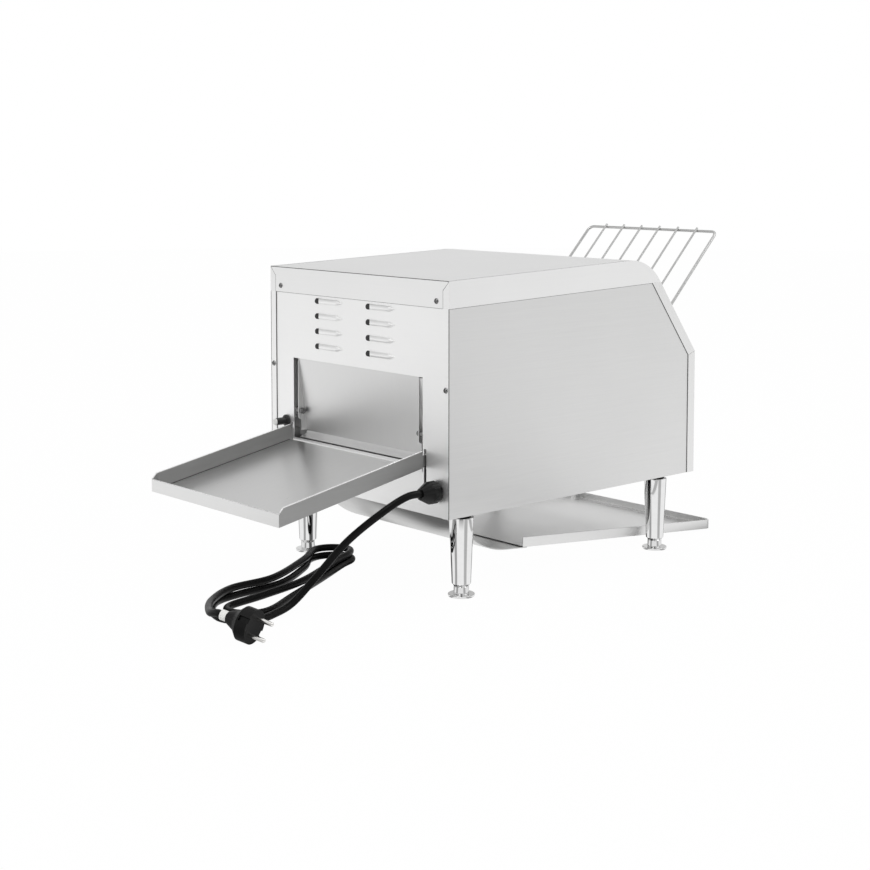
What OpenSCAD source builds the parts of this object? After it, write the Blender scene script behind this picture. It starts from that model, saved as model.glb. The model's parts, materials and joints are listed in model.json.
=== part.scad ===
/* [Body] */
// Width of the body across the top cover
body_w = 344; // [334:1:380]
// Depth of the body from the front panel to the rear panel
body_d = 439; // [432:1:480]
// Height of the body's underside above the table
base_h = 100; // [96:1:120]
// Height of the body from its underside to the rear top edge
body_rise = 276; // [272:1:300]
// Height of the vertical part of the front panel
knee_rise = 161; // [156:1:166]
// Rise of the top towards the front, in degrees
top_slope = 1.87; // [0:0.01:3]
// Slope of the slanted front face, in degrees
slant = 53.4; // [52:0.1:55]
// Radius of the bend between the top and the slanted face
crown_r = 70; // [40:1:75]
// Thickness of all sheet metal
sheet = 1; // [0.8:0.1:1.2]
// Height of the top cover's side and rear flanges
flange_h = 32; // [28:1:36]
// Width of the front panel's side returns
front_return = 13; // [10:1:16]
// Width of the returns at the two rear edges
rear_return = 11; // [9:1:12]
// Width of the seam between two folded edges
seam = 0.4; // [0.2:0.1:0.8]
// Height of the side panels' rear screws above the underside
panel_screw_rise = 150; // [120:1:200]

/* [Openings] */
// Room between each side of the rear opening and the inner wall
opening_side = 5; // [4:0.5:8]
// Height of the rear opening's lower edge above the underside
rear_opening_low = 50; // [46:1:54]
// Height of the rear opening
rear_opening_h = 111; // [100:1:116]
// Depth of the folded jambs beside the rear opening
jamb_d = 8; // [6:0.5:9]
// Room between each side of the feed slot and the inner wall
slot_side = 2; // [1:0.5:3]
// Height of the feed slot's lower edge above the knee
slot_low = 15; // [14:1:20]
// Vertical height of the feed slot
slot_h = 69; // [60:1:72]
// Length of a louvre
louvre_l = 50; // [40:1:56]
// Radius of a louvre's hood
louvre_r = 3.5; // [3:0.1:4]
// Rise from one louvre to the next
louvre_pitch = 19; // [17:0.5:19]
// Number of louvres in each of the two columns
louvre_rows = 4; // [3:1:4]
// Clear gap between the two columns of louvres
louvre_gap = 50; // [40:1:60]

/* [Toasting chamber] */
// Room for the drive between each inner wall and the side of the body
drive_room = 42; // [40:0.5:44]
// Height of the belt axles above the underside
axle_rise = 147; // [146:1:152]
// Pitch of the wire belt
belt_pitch = 12; // [11:0.25:12.5]
// Room between each end of the belt's wires and the inner wall
belt_side = 10; // [8:0.5:12]
// Thickness of the belt wire
belt_wire = 1.6; // [1.4:0.1:1.8]
// Distance of the drive shaft from the rear face
drive_inset = 93.5; // [92:0.5:100]
// Radius of the two belt shafts
shaft_r = 5; // [4:0.25:6]
// Room for a slice between the belt and the upper elements
toast_gap = 60; // [50:1:66]
// Radius of a heating element
element_r = 5; // [4:0.25:5.5]
// Number of heating elements above, and as many below
element_count = 3; // [2:1:3]
// Distance from one heating element to the next
element_pitch = 80; // [70:1:80]

/* [Drive] */
// Pitch of the drive chain
chain_pitch = 9.525; // [8:0.025:9.525]
// Radius of a chain roller
chain_roller_r = 2.8; // [2:0.1:3]
// Radius of the gear motor
motor_r = 25; // [20:0.5:27]
// Length of the gear motor
motor_l = 24; // [18:1:26]

/* [Controls] */
// Diameter of the two control knobs
knob_d = 38; // [30:1:42]
// Height of a knob
knob_l = 18; // [14:1:22]
// Distance of each knob from the middle of the front panel
knob_x = 75; // [60:1:90]
// Height of the knobs above the underside
knob_rise = 88; // [70:1:100]

/* [Legs] */
// Distance of the legs inside the sides of the body
leg_side_inset = 23; // [21:0.5:25]
// Distance of the rear legs from the rear face
leg_rear_inset = 40.5; // [36:0.5:46]
// Distance of the front legs from the front face
leg_front_inset = 50.5; // [46:0.5:56]
// Radius of a leg at its top
leg_top_r = 13; // [12:0.1:13.5]
// Radius of a leg at its lower end
leg_low_r = 11; // [10:0.1:12]
// Height of a leg's black collar
collar_h = 11; // [10:1:16]
// Radius of a foot disc
foot_r = 16; // [14:0.5:16.5]
// Height of a foot from the table to the leg
foot_h = 12; // [10:0.5:14]

/* [Feed rack] */
// Length of the feed rack along its wires
rack_l = 213.5; // [190:0.5:240]
// Angle of the feed rack above the table, in degrees
rack_angle = 45; // [44:0.5:46]
// Room between each side rod of the rack and the inner wall
rack_side = 11.5; // [11:0.5:16]
// Number of gaps between the rack's wires
rack_gaps = 7; // [6:1:8]
// Radius of the rack's frame rods
rack_rod_r = 2; // [1.8:0.1:2.2]
// Radius of the rack's inner wires
rack_wire_r = 1.5; // [1.2:0.1:1.7]

/* [Deflector] */
// Room between each side of the deflector and the jamb of the opening
deflector_side = 8; // [7:0.5:11]
// Height of the pivot above the underside
pivot_rise = 93; // [92:0.5:95]
// Distance of the pivot inside the rear face
pivot_inset = 6.5; // [6:0.5:7]
// Lean of the plate from the vertical, in degrees
deflector_lean = 7.2; // [6.5:0.1:7.5]
// Length of the plate above its pivot
deflector_up = 68; // [60:0.5:68]
// Length of the plate below its pivot
deflector_down = 27; // [22:0.5:27.5]
// Radius of the pivot bolts
pivot_r = 3; // [2.5:0.1:3.2]

/* [Chute and front tray] */
// Room between each side of the chute and the inner wall
chute_side = 1; // [1:0.5:5]
// Slope of the front tray's floor, in degrees
tray_slope = 5.2; // [4.8:0.1:5.5]
// Slope of the chute's steep part, in degrees
chute_slope = 65; // [63:0.5:67]
// Radius of the bend between them
chute_r = 106; // [90:1:112]
// Distance of the chute's top ridge from the rear face
ridge_inset = 16.5; // [15:0.5:18]
// Distance of the chute's lower end from the rear face
chute_end_inset = 170; // [160:1:180]
// Overlap of the front tray on the chute
tray_overlap = 8; // [6:1:12]
// Height of the front tray's front edge above the table
tray_clear = 1; // [0.8:0.1:2]
// How far the front tray stands out in front of the body
tray_reach = 94; // [60:1:110]
// Height of the front tray's side walls
tray_wall = 12.4; // [8:0.2:14]
// Radius of the front tray's two front corners
tray_corner_r = 12; // [8:1:16]

/* [Rear tray] */
// How much narrower each side of the rear tray is than the chamber
rear_tray_side = 1.5; // [0:0.5:5]
// Length of the rear tray, level
rear_tray_l = 207; // [180:1:220]
// Slope of the rear tray, in degrees
rear_tray_slope = 10.5; // [8:0.1:11]
// Height of the rear tray's side walls
rear_tray_wall = 20.4; // [16:0.2:24]
// Height of the rear tray's end wall
rear_tray_end = 15.4; // [12:0.2:16]
// Height of the rear tray's inner top corner above the underside
rear_tray_rise = 75; // [74:0.5:77]
// Gap between the rear tray and the rear face
rear_tray_gap = 2.5; // [1:0.25:4]

/* [Power cord] */
// Diameter of the power cord
cord_d = 8.8; // [8:0.1:9]
// Distance of the cable gland inside the side of the body
gland_side = 23; // [21:0.5:24]
// Height of the cable gland above the underside
gland_rise = 30; // [28:1:34]
// Diameter of the gland's outer nut
gland_d = 26; // [22:1:27]

/* [Hidden] */
$fn = 48;

// Clearances: a running fit, a seat that is fixed, a sliding gap and the overlap of a cut
run_gap = 0.05;
seat_gap = 0.02;
slide_gap = 0.3;
cut = 1;

// The body is drawn round its own middle and then moved, so that the origin lies under the whole toaster
side_x = body_w / 2;
rear_y = body_d / 2;
front_y = -body_d / 2;
tray_inner_y = rear_y + rear_tray_gap;
tray_outer_y = tray_inner_y + rear_tray_l;
rack_low = [41.5 + front_y, base_h + knee_rise + 1];
rail_y = rack_low[0] - rack_l * cos(rack_angle);
rack_front_y = rail_y - rack_rod_r;
shift_y = -(tray_outer_y + rack_front_y) / 2;

// Widths that follow the body: the chamber first, and what stands in it or beside it
chamber_w = body_w - 2 * drive_room;
wall_x = chamber_w / 2;
rear_opening_w = chamber_w - 2 * opening_side;
slot_w = chamber_w - 2 * slot_side;
belt_w = chamber_w - 2 * belt_side;
deflector_w = rear_opening_w - 2 * deflector_side;
rack_half = wall_x - rack_side;
chute_w = chamber_w - 2 * chute_side;
tray_w = chute_w + 2 * sheet;
rear_tray_w = chamber_w - 2 * rear_tray_side;
leg_x = side_x - leg_side_inset;
gland_x = side_x - gland_side;

// Heights above the table
rear_h = base_h + body_rise;
knee_h = base_h + knee_rise;
inside_h = base_h + sheet;
opening_low_h = base_h + rear_opening_low;
opening_top_h = opening_low_h + rear_opening_h;
slot_low_h = knee_h + slot_low;
slot_top_h = slot_low_h + slot_h;

// A point at a length l from p in the direction a, and where two lines given by a point and an angle meet
function along(p, a, l) = [p[0] + l * cos(a), p[1] + l * sin(a)];
function meet(p, a, q, b) =
  along(p, a, ((q[0] - p[0]) * sin(b) - (q[1] - p[1]) * cos(b)) / sin(b - a));
function arc(c, r, a, b, n) = [for (i = [0 : n]) along(c, a + (b - a) * i / n, r)];

// The body's outline in the Y-Z plane, set in by d, from the rear foot of the panel round to the front
top_line = [rear_y, rear_h];
knee = [front_y, knee_h];
top_a = 180 - top_slope;
function top_in(d) = along(top_line, top_a + 90, d);
function slant_in(d) = along(knee, slant - 90, d);
crown = meet(top_in(crown_r), top_a, slant_in(crown_r), slant);
function outline(d, low) = concat(
  [[rear_y - d, low], meet([rear_y - d, 0], 90, top_in(d), top_a)],
  arc(crown, crown_r - d, 90 - top_slope, 90 + slant, 18),
  [meet([front_y + d, 0], 90, slant_in(d), slant), [front_y + d, low]]
);
function flange_z(y) = rear_h - flange_h + (rear_y - y) * tan(top_slope);
function slant_y(z, d) = meet(slant_in(d), slant, [0, z], 0)[0];

module placed() {
  translate([0, shift_y, 0]) children();
}

// Extrudes a shape drawn in the Y-Z plane from x = a to x = b
module between_x(a, b) {
  translate([a, 0, 0]) rotate([90, 0, 90]) linear_extrude(b - a) children();
}
module across(w) {
  between_x(-w / 2, w / 2) children();
}
module rod_x(r, a, b, y, z) {
  translate([a, y, z]) rotate([0, 90, 0]) cylinder(r = r, h = b - a);
}
module rod_y(r, a, b, x, z) {
  translate([x, a, z]) rotate([-90, 0, 0]) cylinder(r = r, h = b - a);
}
module box(x, y, z) {
  translate([x[0], y[0], z[0]]) cube([x[1] - x[0], y[1] - y[0], z[1] - z[0]]);
}
module both_sides() {
  for (side = [0, 1]) mirror([side, 0, 0]) children();
}

// ---- Casing ----

panel_x = side_x - sheet;
inner_x = panel_x - sheet;
return_x = side_x - rear_return;
rear_in_y = rear_y - sheet;
panel_in_y = rear_in_y - sheet;
front_in_y = front_y + sheet;
screw_r = 1.6;
screw_head_r = 3.5;
cover_screw_side = 22;
cover_screw_up = 8;
cover_screw_x = side_x - cover_screw_side;
cover_screw_z = rear_h - flange_h + cover_screw_up;
panel_screw_x = side_x - rear_return / 2 - sheet / 2;
panel_screw_z = base_h + panel_screw_rise;

module body_shell() {
  difference() {
    across(body_w) polygon(outline(0, base_h));
    across(body_w - 2 * sheet) polygon(outline(sheet, base_h - cut));
  }
}

module screw_holes(x, z) {
  both_sides() rod_y(screw_r + 0.1, panel_in_y - cut, rear_y + cut, x, z);
}

// The cover's rear flange stands between two folded tabs, with a slanted cut at each upper corner
module cover_seams() {
  both_sides()
    translate([0, rear_y + cut, 0]) rotate([90, 0, 0]) linear_extrude(sheet + cut)
      polygon([
        [return_x, rear_h - flange_h - cut], [return_x, rear_h - rear_return],
        [side_x - sheet, rear_h - sheet], [side_x - sheet + seam, rear_h - sheet],
        [return_x + seam, rear_h - rear_return - seam], [return_x + seam, rear_h - flange_h - cut]
      ]);
}

module top_cover() {
  far = 40;
  color("gainsboro") placed() difference() {
    intersection() {
      body_shell();
      across(body_w) polygon([
        [rear_y + far, flange_z(rear_y + far)], [rear_y + far, rear_h + far],
        [front_y - far, rear_h + far], [front_y - far, flange_z(front_y - far)]
      ]);
    }
    cover_seams();
    screw_holes(cover_screw_x, cover_screw_z);
  }
}

// The front panel's side returns follow the slanted and the upright front edge
module front_band() {
  far = 5;
  flange_line = [rear_y, rear_h - flange_h];
  return_knee = meet([front_y + front_return, 0], 90, slant_in(front_return), slant);
  polygon([
    [front_y - far, base_h], [front_y - far, flange_z(front_y - far)],
    meet(flange_line, top_a, slant_in(front_return), slant), return_knee,
    [front_y + front_return, base_h]
  ]);
}

module knee_seams() {
  mitre_a = (slant - 90) / 2;
  both_sides() translate([panel_x, front_y, knee_h]) rotate([mitre_a, 0, 0])
    box([0, sheet + cut], [sheet, front_return * 2], [-seam / 2, seam / 2]);
}

module front_panel() {
  color("lightgray") placed() difference() {
    intersection() {
      body_shell();
      across(body_w) front_band();
    }
    box([-slot_w / 2, slot_w / 2], [front_y - cut, front_y + slot_h * 2], [slot_low_h, slot_top_h]);
    knee_seams();
    for (side = [-1, 1]) rod_y(control_neck_r + 0.1, front_y - cut, front_in_y + cut, side * knob_x, knob_h);
    rod_y(lamp_r + 0.1, front_y - cut, front_in_y + cut, 0, lamp_h);
    box([-switch_w / 2, switch_w / 2], [front_y - cut, front_in_y + cut],
      [switch_h - switch_l / 2, switch_h + switch_l / 2]);
  }
}

module side_panel() {
  between_x(inner_x, panel_x) polygon(outline(sheet, base_h));
  difference() {
    box([return_x, panel_x], [rear_in_y, rear_y], [base_h, rear_h - flange_h]);
    rod_y(screw_r + 0.1, rear_in_y - cut, rear_y + cut, panel_screw_x, panel_screw_z);
  }
}
module left_side_panel() {
  color("lightgray") placed() mirror([1, 0, 0]) side_panel();
}
module right_side_panel() {
  color("lightgray") placed() side_panel();
}

louvre_drop = 7;
louvre_top_h = rear_h - flange_h - louvre_drop;
louvre_end_x = louvre_gap / 2 + louvre_l;
louvre_wall = 0.8;
louvre_tail = 10;
gland_h = base_h + gland_rise;
gland_thread_r = 8;
reset_side = 32;
reset_rise = 78;
reset_x = side_x - reset_side;
reset_h = base_h + reset_rise;
reset_bush_r = 6;
hook_x = rear_tray_w / 2;
hook_slot_drop = 16;
hook_slot_low_h = opening_low_h - hook_slot_drop;
hook_slot_top_h = base_h + rear_tray_rise + 2 * sheet;
ear_r = 9;

// A louvre is a half-round hood that narrows to a point, with its mouth at the other end
module louvre_solid(r) {
  rotate([0, -90, 0]) cylinder(r = r, h = louvre_l - louvre_tail);
  translate([louvre_tail - louvre_l, 0, 0]) rotate([0, -90, 0]) cylinder(r1 = r, r2 = 0.4, h = louvre_tail);
}
module at_louvres() {
  for (right = [0, 1]) for (row = [0 : louvre_rows - 1])
    translate([louvre_end_x - right * (louvre_l + louvre_gap), rear_in_y, louvre_top_h - row * louvre_pitch])
      children();
}

module rear_panel() {
  color("whitesmoke") placed() difference() {
    union() {
      intersection() {
        across(inner_x * 2) polygon(outline(sheet, base_h));
        box([-inner_x, inner_x], [panel_in_y, rear_in_y], [base_h, rear_h]);
      }
      at_louvres() intersection() {
        louvre_solid(louvre_r);
        box([-louvre_l, 0], [0, louvre_r + cut], [-louvre_r, louvre_r]);
      }
      both_sides() {
        box([rear_opening_w / 2, rear_opening_w / 2 + sheet], [panel_in_y - jamb_d + sheet, panel_in_y],
          [pivot_h - ear_r, opening_top_h]);
        intersection() {
          rod_x(ear_r, rear_opening_w / 2, rear_opening_w / 2 + sheet, pivot_y, pivot_h);
          box([0, side_x], [0, panel_in_y], [0, rear_h]);
        }
      }
    }
    at_louvres() translate([cut, 0, 0]) {
      intersection() {
        louvre_solid(louvre_r - louvre_wall);
        box([-louvre_l, cut], [-cut * 2, louvre_r], [-louvre_r, louvre_r]);
      }
    }
    box([-rear_opening_w / 2, rear_opening_w / 2], [panel_in_y - cut, rear_y],
      [opening_low_h, opening_top_h]);
    both_sides() box([hook_x - sheet - slide_gap, hook_x + 3 * sheet], [panel_in_y - cut, rear_y],
      [hook_slot_low_h, hook_slot_top_h]);
    both_sides()
      rod_x(pivot_r + seat_gap, rear_opening_w / 2 - cut, rear_opening_w / 2 + cut * 2, pivot_y, pivot_h);
    rod_y(gland_thread_r + 0.1, panel_in_y - cut, rear_y, -gland_x, gland_h);
    rod_y(reset_bush_r + 0.1, panel_in_y - cut, rear_y, reset_x, reset_h);
    screw_holes(cover_screw_x, cover_screw_z);
    screw_holes(panel_screw_x, panel_screw_z);
  }
}

module base_plate() {
  back_edge = 37.5;
  plate_opening = [chute_end_y, rear_y - back_edge];
  edge_up = 12;
  color("silver") placed() difference() {
    union() {
      box([-inner_x, inner_x], [front_in_y, panel_in_y], [base_h, inside_h]);
      both_sides() box([inner_x - sheet, inner_x], [front_in_y, panel_in_y], [base_h, base_h + edge_up]);
    }
    box([-chamber_w / 2, chamber_w / 2], plate_opening, [base_h - cut, inside_h + cut]);
    at_legs() cylinder(r = leg_stud_r + 0.2, h = base_h * 4, center = true);
  }
}

module cover_screws() {
  color("dimgray") placed() both_sides() screw(cover_screw_x, cover_screw_z, rear_y);
}
module panel_screws() {
  color("dimgray") placed() both_sides() screw(panel_screw_x, panel_screw_z, rear_y);
}
// A screw has a low domed head with a cross recess
module screw(x, z, face) {
  shank_l = 5;
  head_h = 2;
  dome_r = 5;
  rod_y(screw_r, panel_in_y - shank_l, face, x, z);
  difference() {
    translate([x, face, z]) rotate([-90, 0, 0]) intersection() {
      cylinder(r = screw_head_r, h = head_h);
      translate([0, 0, head_h - dome_r]) sphere(r = dome_r);
    }
    for (turn = [0, 90]) translate([x, face + head_h, z]) rotate([0, turn, 0])
      cube([screw_head_r + 0.5, head_h, 0.8], center = true);
  }
}

// ---- Toasting chamber ----

sprocket_teeth = 12;
half_wrap = sprocket_teeth / 2;
sprocket_pitch_r = belt_pitch / (2 * sin(180 / sprocket_teeth));
axle_h = base_h + axle_rise;
drive_y = rear_y - drive_inset;
partition_inset = 34.5;
partition_y = front_y + partition_inset;
// As many belt pitches as fit between the drive shaft and the front partition
belt_front_room = 11;
belt_bays = floor((drive_y - partition_y - sprocket_pitch_r - belt_front_room) / belt_pitch);
idler_y = drive_y - belt_bays * belt_pitch;
upper_element_h = axle_h + sprocket_pitch_r + toast_gap;
lower_element_h = axle_h + 2;
roof_room = 15;
roof_h = upper_element_h + roof_room;
element_mid_y = (drive_y + idler_y) / 2 + 2;
insulator_r = element_r + 2;
bush_r = shaft_r + 3;
element_end = wall_x + 9;

module at_elements() {
  for (i = [0 : element_count - 1])
    translate([0, element_mid_y + (i - (element_count - 1) / 2) * element_pitch, 0]) children();
}

module inner_wall() {
  shelf_h = rack_low[1] + 1;
  difference() {
    intersection() {
      between_x(wall_x, wall_x + sheet) polygon(outline(sheet, inside_h));
      union() {
        box([wall_x, wall_x + sheet], [partition_y, panel_in_y], [inside_h, roof_h]);
        box([wall_x, wall_x + sheet], [front_y, panel_in_y], [shelf_h, roof_h]);
      }
    }
    for (y = [drive_y, idler_y]) rod_x(bush_r + seat_gap, wall_x - cut, wall_x + sheet + cut, y, axle_h);
    at_elements() for (z = [upper_element_h, lower_element_h])
      rod_x(insulator_r + seat_gap, wall_x - cut, wall_x + sheet + cut, 0, z);
  }
}
module left_inner_wall() {
  color("silver") placed() mirror([1, 0, 0]) inner_wall();
}
module right_inner_wall() {
  color("silver") placed() inner_wall();
}

// The front partition closes the control box and leans forward under the feed rack
module front_partition() {
  rack_room = 10;
  top_h = rack_low[1] - rack_room;
  lip_h = slot_low_h - sheet;
  color("silver") placed() {
    box([-inner_x + sheet, inner_x - sheet], [partition_y - sheet, partition_y], [inside_h, top_h]);
    intersection() {
      across(chamber_w - 2 * slide_gap) polygon(outline(sheet, base_h));
      across(chamber_w - 2 * slide_gap) polygon([
        [partition_y, top_h], [partition_y - sheet, top_h],
        [slant_y(lip_h, sheet) - sheet, lip_h], [slant_y(lip_h, sheet) - sheet, lip_h + 2 * sheet],
        [partition_y, top_h + sheet]
      ]);
    }
  }
}

module upper_reflector() {
  lip = 10;
  front_room = 12;
  rear_room = 22;
  y0 = slant_y(roof_h + sheet, sheet) + front_room;
  y1 = drive_y + sprocket_pitch_r + rear_room;
  half = wall_x - slide_gap;
  color("silver") placed() {
    box([-wall_x - sheet, wall_x + sheet], [y0, y1], [roof_h, roof_h + sheet]);
    for (y = [y0, y1 - sheet]) box([-half, half], [y, y + sheet], [roof_h - lip, roof_h]);
  }
}
module lower_reflector() {
  edge_room = 24;
  edge_l = 6;
  above_run = 8;
  reach = element_pitch * (element_count - 1) / 2 + edge_room;
  z = axle_h - sprocket_pitch_r + above_run;
  color("silver") placed() {
    box([-wall_x, wall_x], [element_mid_y - reach, element_mid_y + reach], [z, z + sheet]);
    for (side = [-1, 1]) translate([0, element_mid_y + side * reach, z]) rotate([-side * 45, 0, 0])
      box([-wall_x, wall_x], [-sheet / 2, sheet / 2], [0, edge_l]);
  }
}

module element_row(z) {
  at_elements() rod_x(element_r, -element_end, element_end, 0, z);
}
module upper_elements() {
  color("antiquewhite") placed() element_row(upper_element_h);
}
module lower_elements() {
  color("antiquewhite") placed() element_row(lower_element_h);
}
module element_insulators() {
  flange_r = insulator_r + 2.5;
  color("ivory") placed() both_sides() at_elements()
  for (z = [upper_element_h, lower_element_h]) difference() {
    union() {
      rod_x(insulator_r, wall_x - 1, element_end - 1, 0, z);
      rod_x(flange_r, wall_x + sheet, wall_x + sheet + 2, 0, z);
    }
    rod_x(element_r + 0.1, wall_x - 2, element_end, 0, z);
  }
}

// ---- Wire belt and shafts ----

// Point k of a loop of equal pitches over two equal sprockets; the first sprocket is at the origin and
// the second lies bays pitches away along -Y
function loop_point(k, bays, pitch) =
  let (
    r = pitch / (2 * sin(180 / sprocket_teeth)),
    step = 360 / sprocket_teeth,
    lap = k % (2 * (bays + half_wrap))
  )
  lap <= bays ? [-lap * pitch, r]
  : lap < bays + half_wrap ? along([-bays * pitch, 0], 90 + (lap - bays) * step, r)
  : lap <= 2 * bays + half_wrap ? [(lap - 2 * bays - half_wrap) * pitch, -r]
  : along([0, 0], -90 + (lap - 2 * bays - half_wrap) * step, r);

// Sets its child at every point of such a loop, aimed at the next point
module on_loop(bays, pitch, lean = 0) {
  for (k = [0 : 2 * (bays + half_wrap) - 1]) {
    here = loop_point(k, bays, pitch);
    next = loop_point(k + 1, bays, pitch);
    $k = k;
    translate([0, here[0], here[1]]) rotate([atan2(next[1] - here[1], next[0] - here[0]) - lean, 0, 0])
      children();
  }
}

// One strand of the belt: a straight wire with square hooks that reach over the next strand.
// The hooks of odd and even strands stand side by side, and leave the sprockets free.
hook_w = 12;
hook_count = 6;
hook_x_list = [for (i = [0 : hook_count / 2 - 1]) (i + 0.5) * belt_w / hook_count];
hook_lift = belt_wire * 1.25;
sprocket_x_list = [for (i = [-1 : 1]) i * belt_w / 3];
module strand(odd) {
  linear_extrude(belt_wire, center = true) difference() {
    union() {
      translate([-belt_w / 2, -belt_wire / 2]) square([belt_w, belt_wire]);
      at_hooks(odd) translate([-hook_w / 2, -belt_wire / 2]) square([hook_w, belt_pitch + belt_wire]);
    }
    at_hooks(odd) translate([-hook_w / 2 + belt_wire, -belt_wire / 2 - cut])
      square([hook_w - 2 * belt_wire, belt_pitch + cut]);
  }
}
module at_hooks(odd) {
  for (side = [-1, 1]) for (x = hook_x_list) translate([side * (x + odd * hook_w), 0]) children();
}
module conveyor_belt() {
  color("silver") placed() translate([0, drive_y, axle_h])
    on_loop(belt_bays, belt_pitch, asin(hook_lift / belt_pitch)) strand($k % 2);
}

// Rails at both walls carry the edges of the upper and the lower run
module belt_guides() {
  under_belt = 7;
  rail_down = 11;
  shaft_room = 10;
  y0 = idler_y + shaft_room;
  y1 = drive_y - shaft_room;
  top_rail = axle_h + sprocket_pitch_r - belt_wire / 2 - 0.4;
  low_rail = axle_h - sprocket_pitch_r - belt_wire / 2 - hook_lift - 0.7;
  color("silver") placed() both_sides() for (z = [top_rail, low_rail]) {
    box([belt_w / 2 - under_belt, wall_x], [y0, y1], [z - sheet, z]);
    box([wall_x - sheet, wall_x], [y0, y1], [z - rail_down, z - sheet]);
  }
}

module ring_x(r, bore, a, b, y, z) {
  difference() {
    rod_x(r, a, b, y, z);
    rod_x(bore, a - cut, b + cut, y, z);
  }
}

shaft_end = wall_x + 8;
chain_x = wall_x + 7;
chain_room = 5;
module drive_shaft() {
  color("silver") placed() rod_x(shaft_r, -shaft_end, chain_x + chain_room, drive_y, axle_h);
}
module idler_shaft() {
  color("silver") placed() rod_x(shaft_r, -shaft_end, shaft_end, idler_y, axle_h);
}

// The teeth end a sliding gap under the wires, so that the sprockets turn freely inside the belt
sprocket_rim_r = sprocket_pitch_r - belt_wire * sqrt(2) / 2 - slide_gap;
sprocket_half_w = 1.5;
hub_wall = 4;
module sprocket_row(y) {
  notch_r = belt_wire * 0.9;
  hub_half = 5;
  for (x = sprocket_x_list) difference() {
    union() {
      rod_x(sprocket_rim_r, x - sprocket_half_w, x + sprocket_half_w, y, axle_h);
      rod_x(shaft_r + hub_wall, x - hub_half, x + hub_half, y, axle_h);
    }
    rod_x(shaft_r + seat_gap, x - hub_half - cut, x + hub_half + cut, y, axle_h);
    for (tooth = [0 : sprocket_teeth - 1])
      translate([0, y, axle_h]) rotate([tooth * 360 / sprocket_teeth, 0, 0])
        rod_x(notch_r, x - sprocket_half_w - cut, x + sprocket_half_w + cut, 0, sprocket_rim_r);
  }
}
module drive_sprockets() {
  color("darkgray") placed() sprocket_row(drive_y);
}
module idler_sprockets() {
  color("darkgray") placed() {
    sprocket_row(idler_y);
    both_sides() ring_x(shaft_r + 3, shaft_r + seat_gap, shaft_end - 2.5, shaft_end - 1, idler_y, axle_h);
  }
}

module shaft_bushes() {
  color("goldenrod") placed() both_sides() for (y = [drive_y, idler_y]) difference() {
    union() {
      rod_x(bush_r, wall_x - 1, wall_x + 2.5, y, axle_h);
      rod_x(bush_r + 3, wall_x + sheet, wall_x + 2.5, y, axle_h);
    }
    rod_x(shaft_r + run_gap, wall_x - 2, wall_x + 4, y, axle_h);
  }
}

// ---- Chain drive ----

chain_bays = 8;
chain_r = chain_pitch / (2 * sin(180 / sprocket_teeth));
motor_h = axle_h - chain_bays * chain_pitch;
bracket_x = chain_x + chain_room;
motor_x = bracket_x + sheet * 1.5;
motor_shaft_r = 4;
motor_shaft_in = 12;
standoff_r = 4;
wheel_half_w = 1.1;

// The wheels' teeth end a sliding gap under the chain's rollers, for the same reason as the belt's
wheel_rim_r = chain_r - chain_roller_r - slide_gap;
module chain_wheel(y, z, bore) {
  difference() {
    rod_x(wheel_rim_r, chain_x - wheel_half_w, chain_x + wheel_half_w, y, z);
    for (tooth = [0 : sprocket_teeth - 1])
      translate([0, y, z]) rotate([tooth * 360 / sprocket_teeth, 0, 0])
        rod_x(chain_roller_r, chain_x - 2, chain_x + 2, 0, wheel_rim_r + chain_roller_r / 2);
    rod_x(bore, chain_x - 2, chain_x + 2, y, z);
  }
}
module chain_sprocket() {
  hub_end = chain_x + chain_room - 0.5;
  color("dimgray") placed() {
    chain_wheel(drive_y, axle_h, shaft_r + seat_gap);
    ring_x(shaft_r + hub_wall, shaft_r + seat_gap, chain_x + wheel_half_w, hub_end, drive_y, axle_h);
  }
}
module motor_sprocket() {
  color("dimgray") placed() {
    chain_wheel(drive_y, motor_h, motor_shaft_r - cut);
    rod_x(motor_shaft_r + 3, chain_x + wheel_half_w, bracket_x - 0.5, drive_y, motor_h);
    rod_x(motor_shaft_r, chain_x - 2.5, motor_x + motor_shaft_in, drive_y, motor_h);
  }
}

// Inner and outer side plates take turns along the chain
module chain_link(outer) {
  plate = 0.8;
  plate_r = 3.4;
  plate_in = 1.6 + outer * (plate + 0.1);
  for (side = [-1, 1]) {
    middle = chain_x + side * (plate_in + plate / 2);
    between_x(middle - plate / 2, middle + plate / 2) {
      circle(r = plate_r);
      translate([chain_pitch, 0]) circle(r = plate_r);
      translate([0, -plate_r * 0.7]) square([chain_pitch, plate_r * 1.4]);
    }
  }
  rod_x(chain_roller_r, chain_x - 1.6, chain_x + 1.6, 0, 0);
  rod_x(1.4, chain_x - 3.6, chain_x + 3.6, 0, 0);
}
module drive_chain() {
  color("gray") placed() translate([0, drive_y, axle_h]) rotate([90, 0, 0])
    on_loop(chain_bays, chain_pitch) chain_link($k % 2);
}

module gear_motor() {
  color("silver") placed() difference() {
    union() {
      rod_x(motor_r, motor_x, motor_x + motor_l * 0.45, drive_y, motor_h);
      rod_x(motor_r - 2, motor_x, motor_x + motor_l, drive_y, motor_h);
    }
    rod_x(motor_shaft_r + run_gap, motor_x - cut, motor_x + motor_shaft_in + 1, drive_y, motor_h);
  }
}

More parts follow.
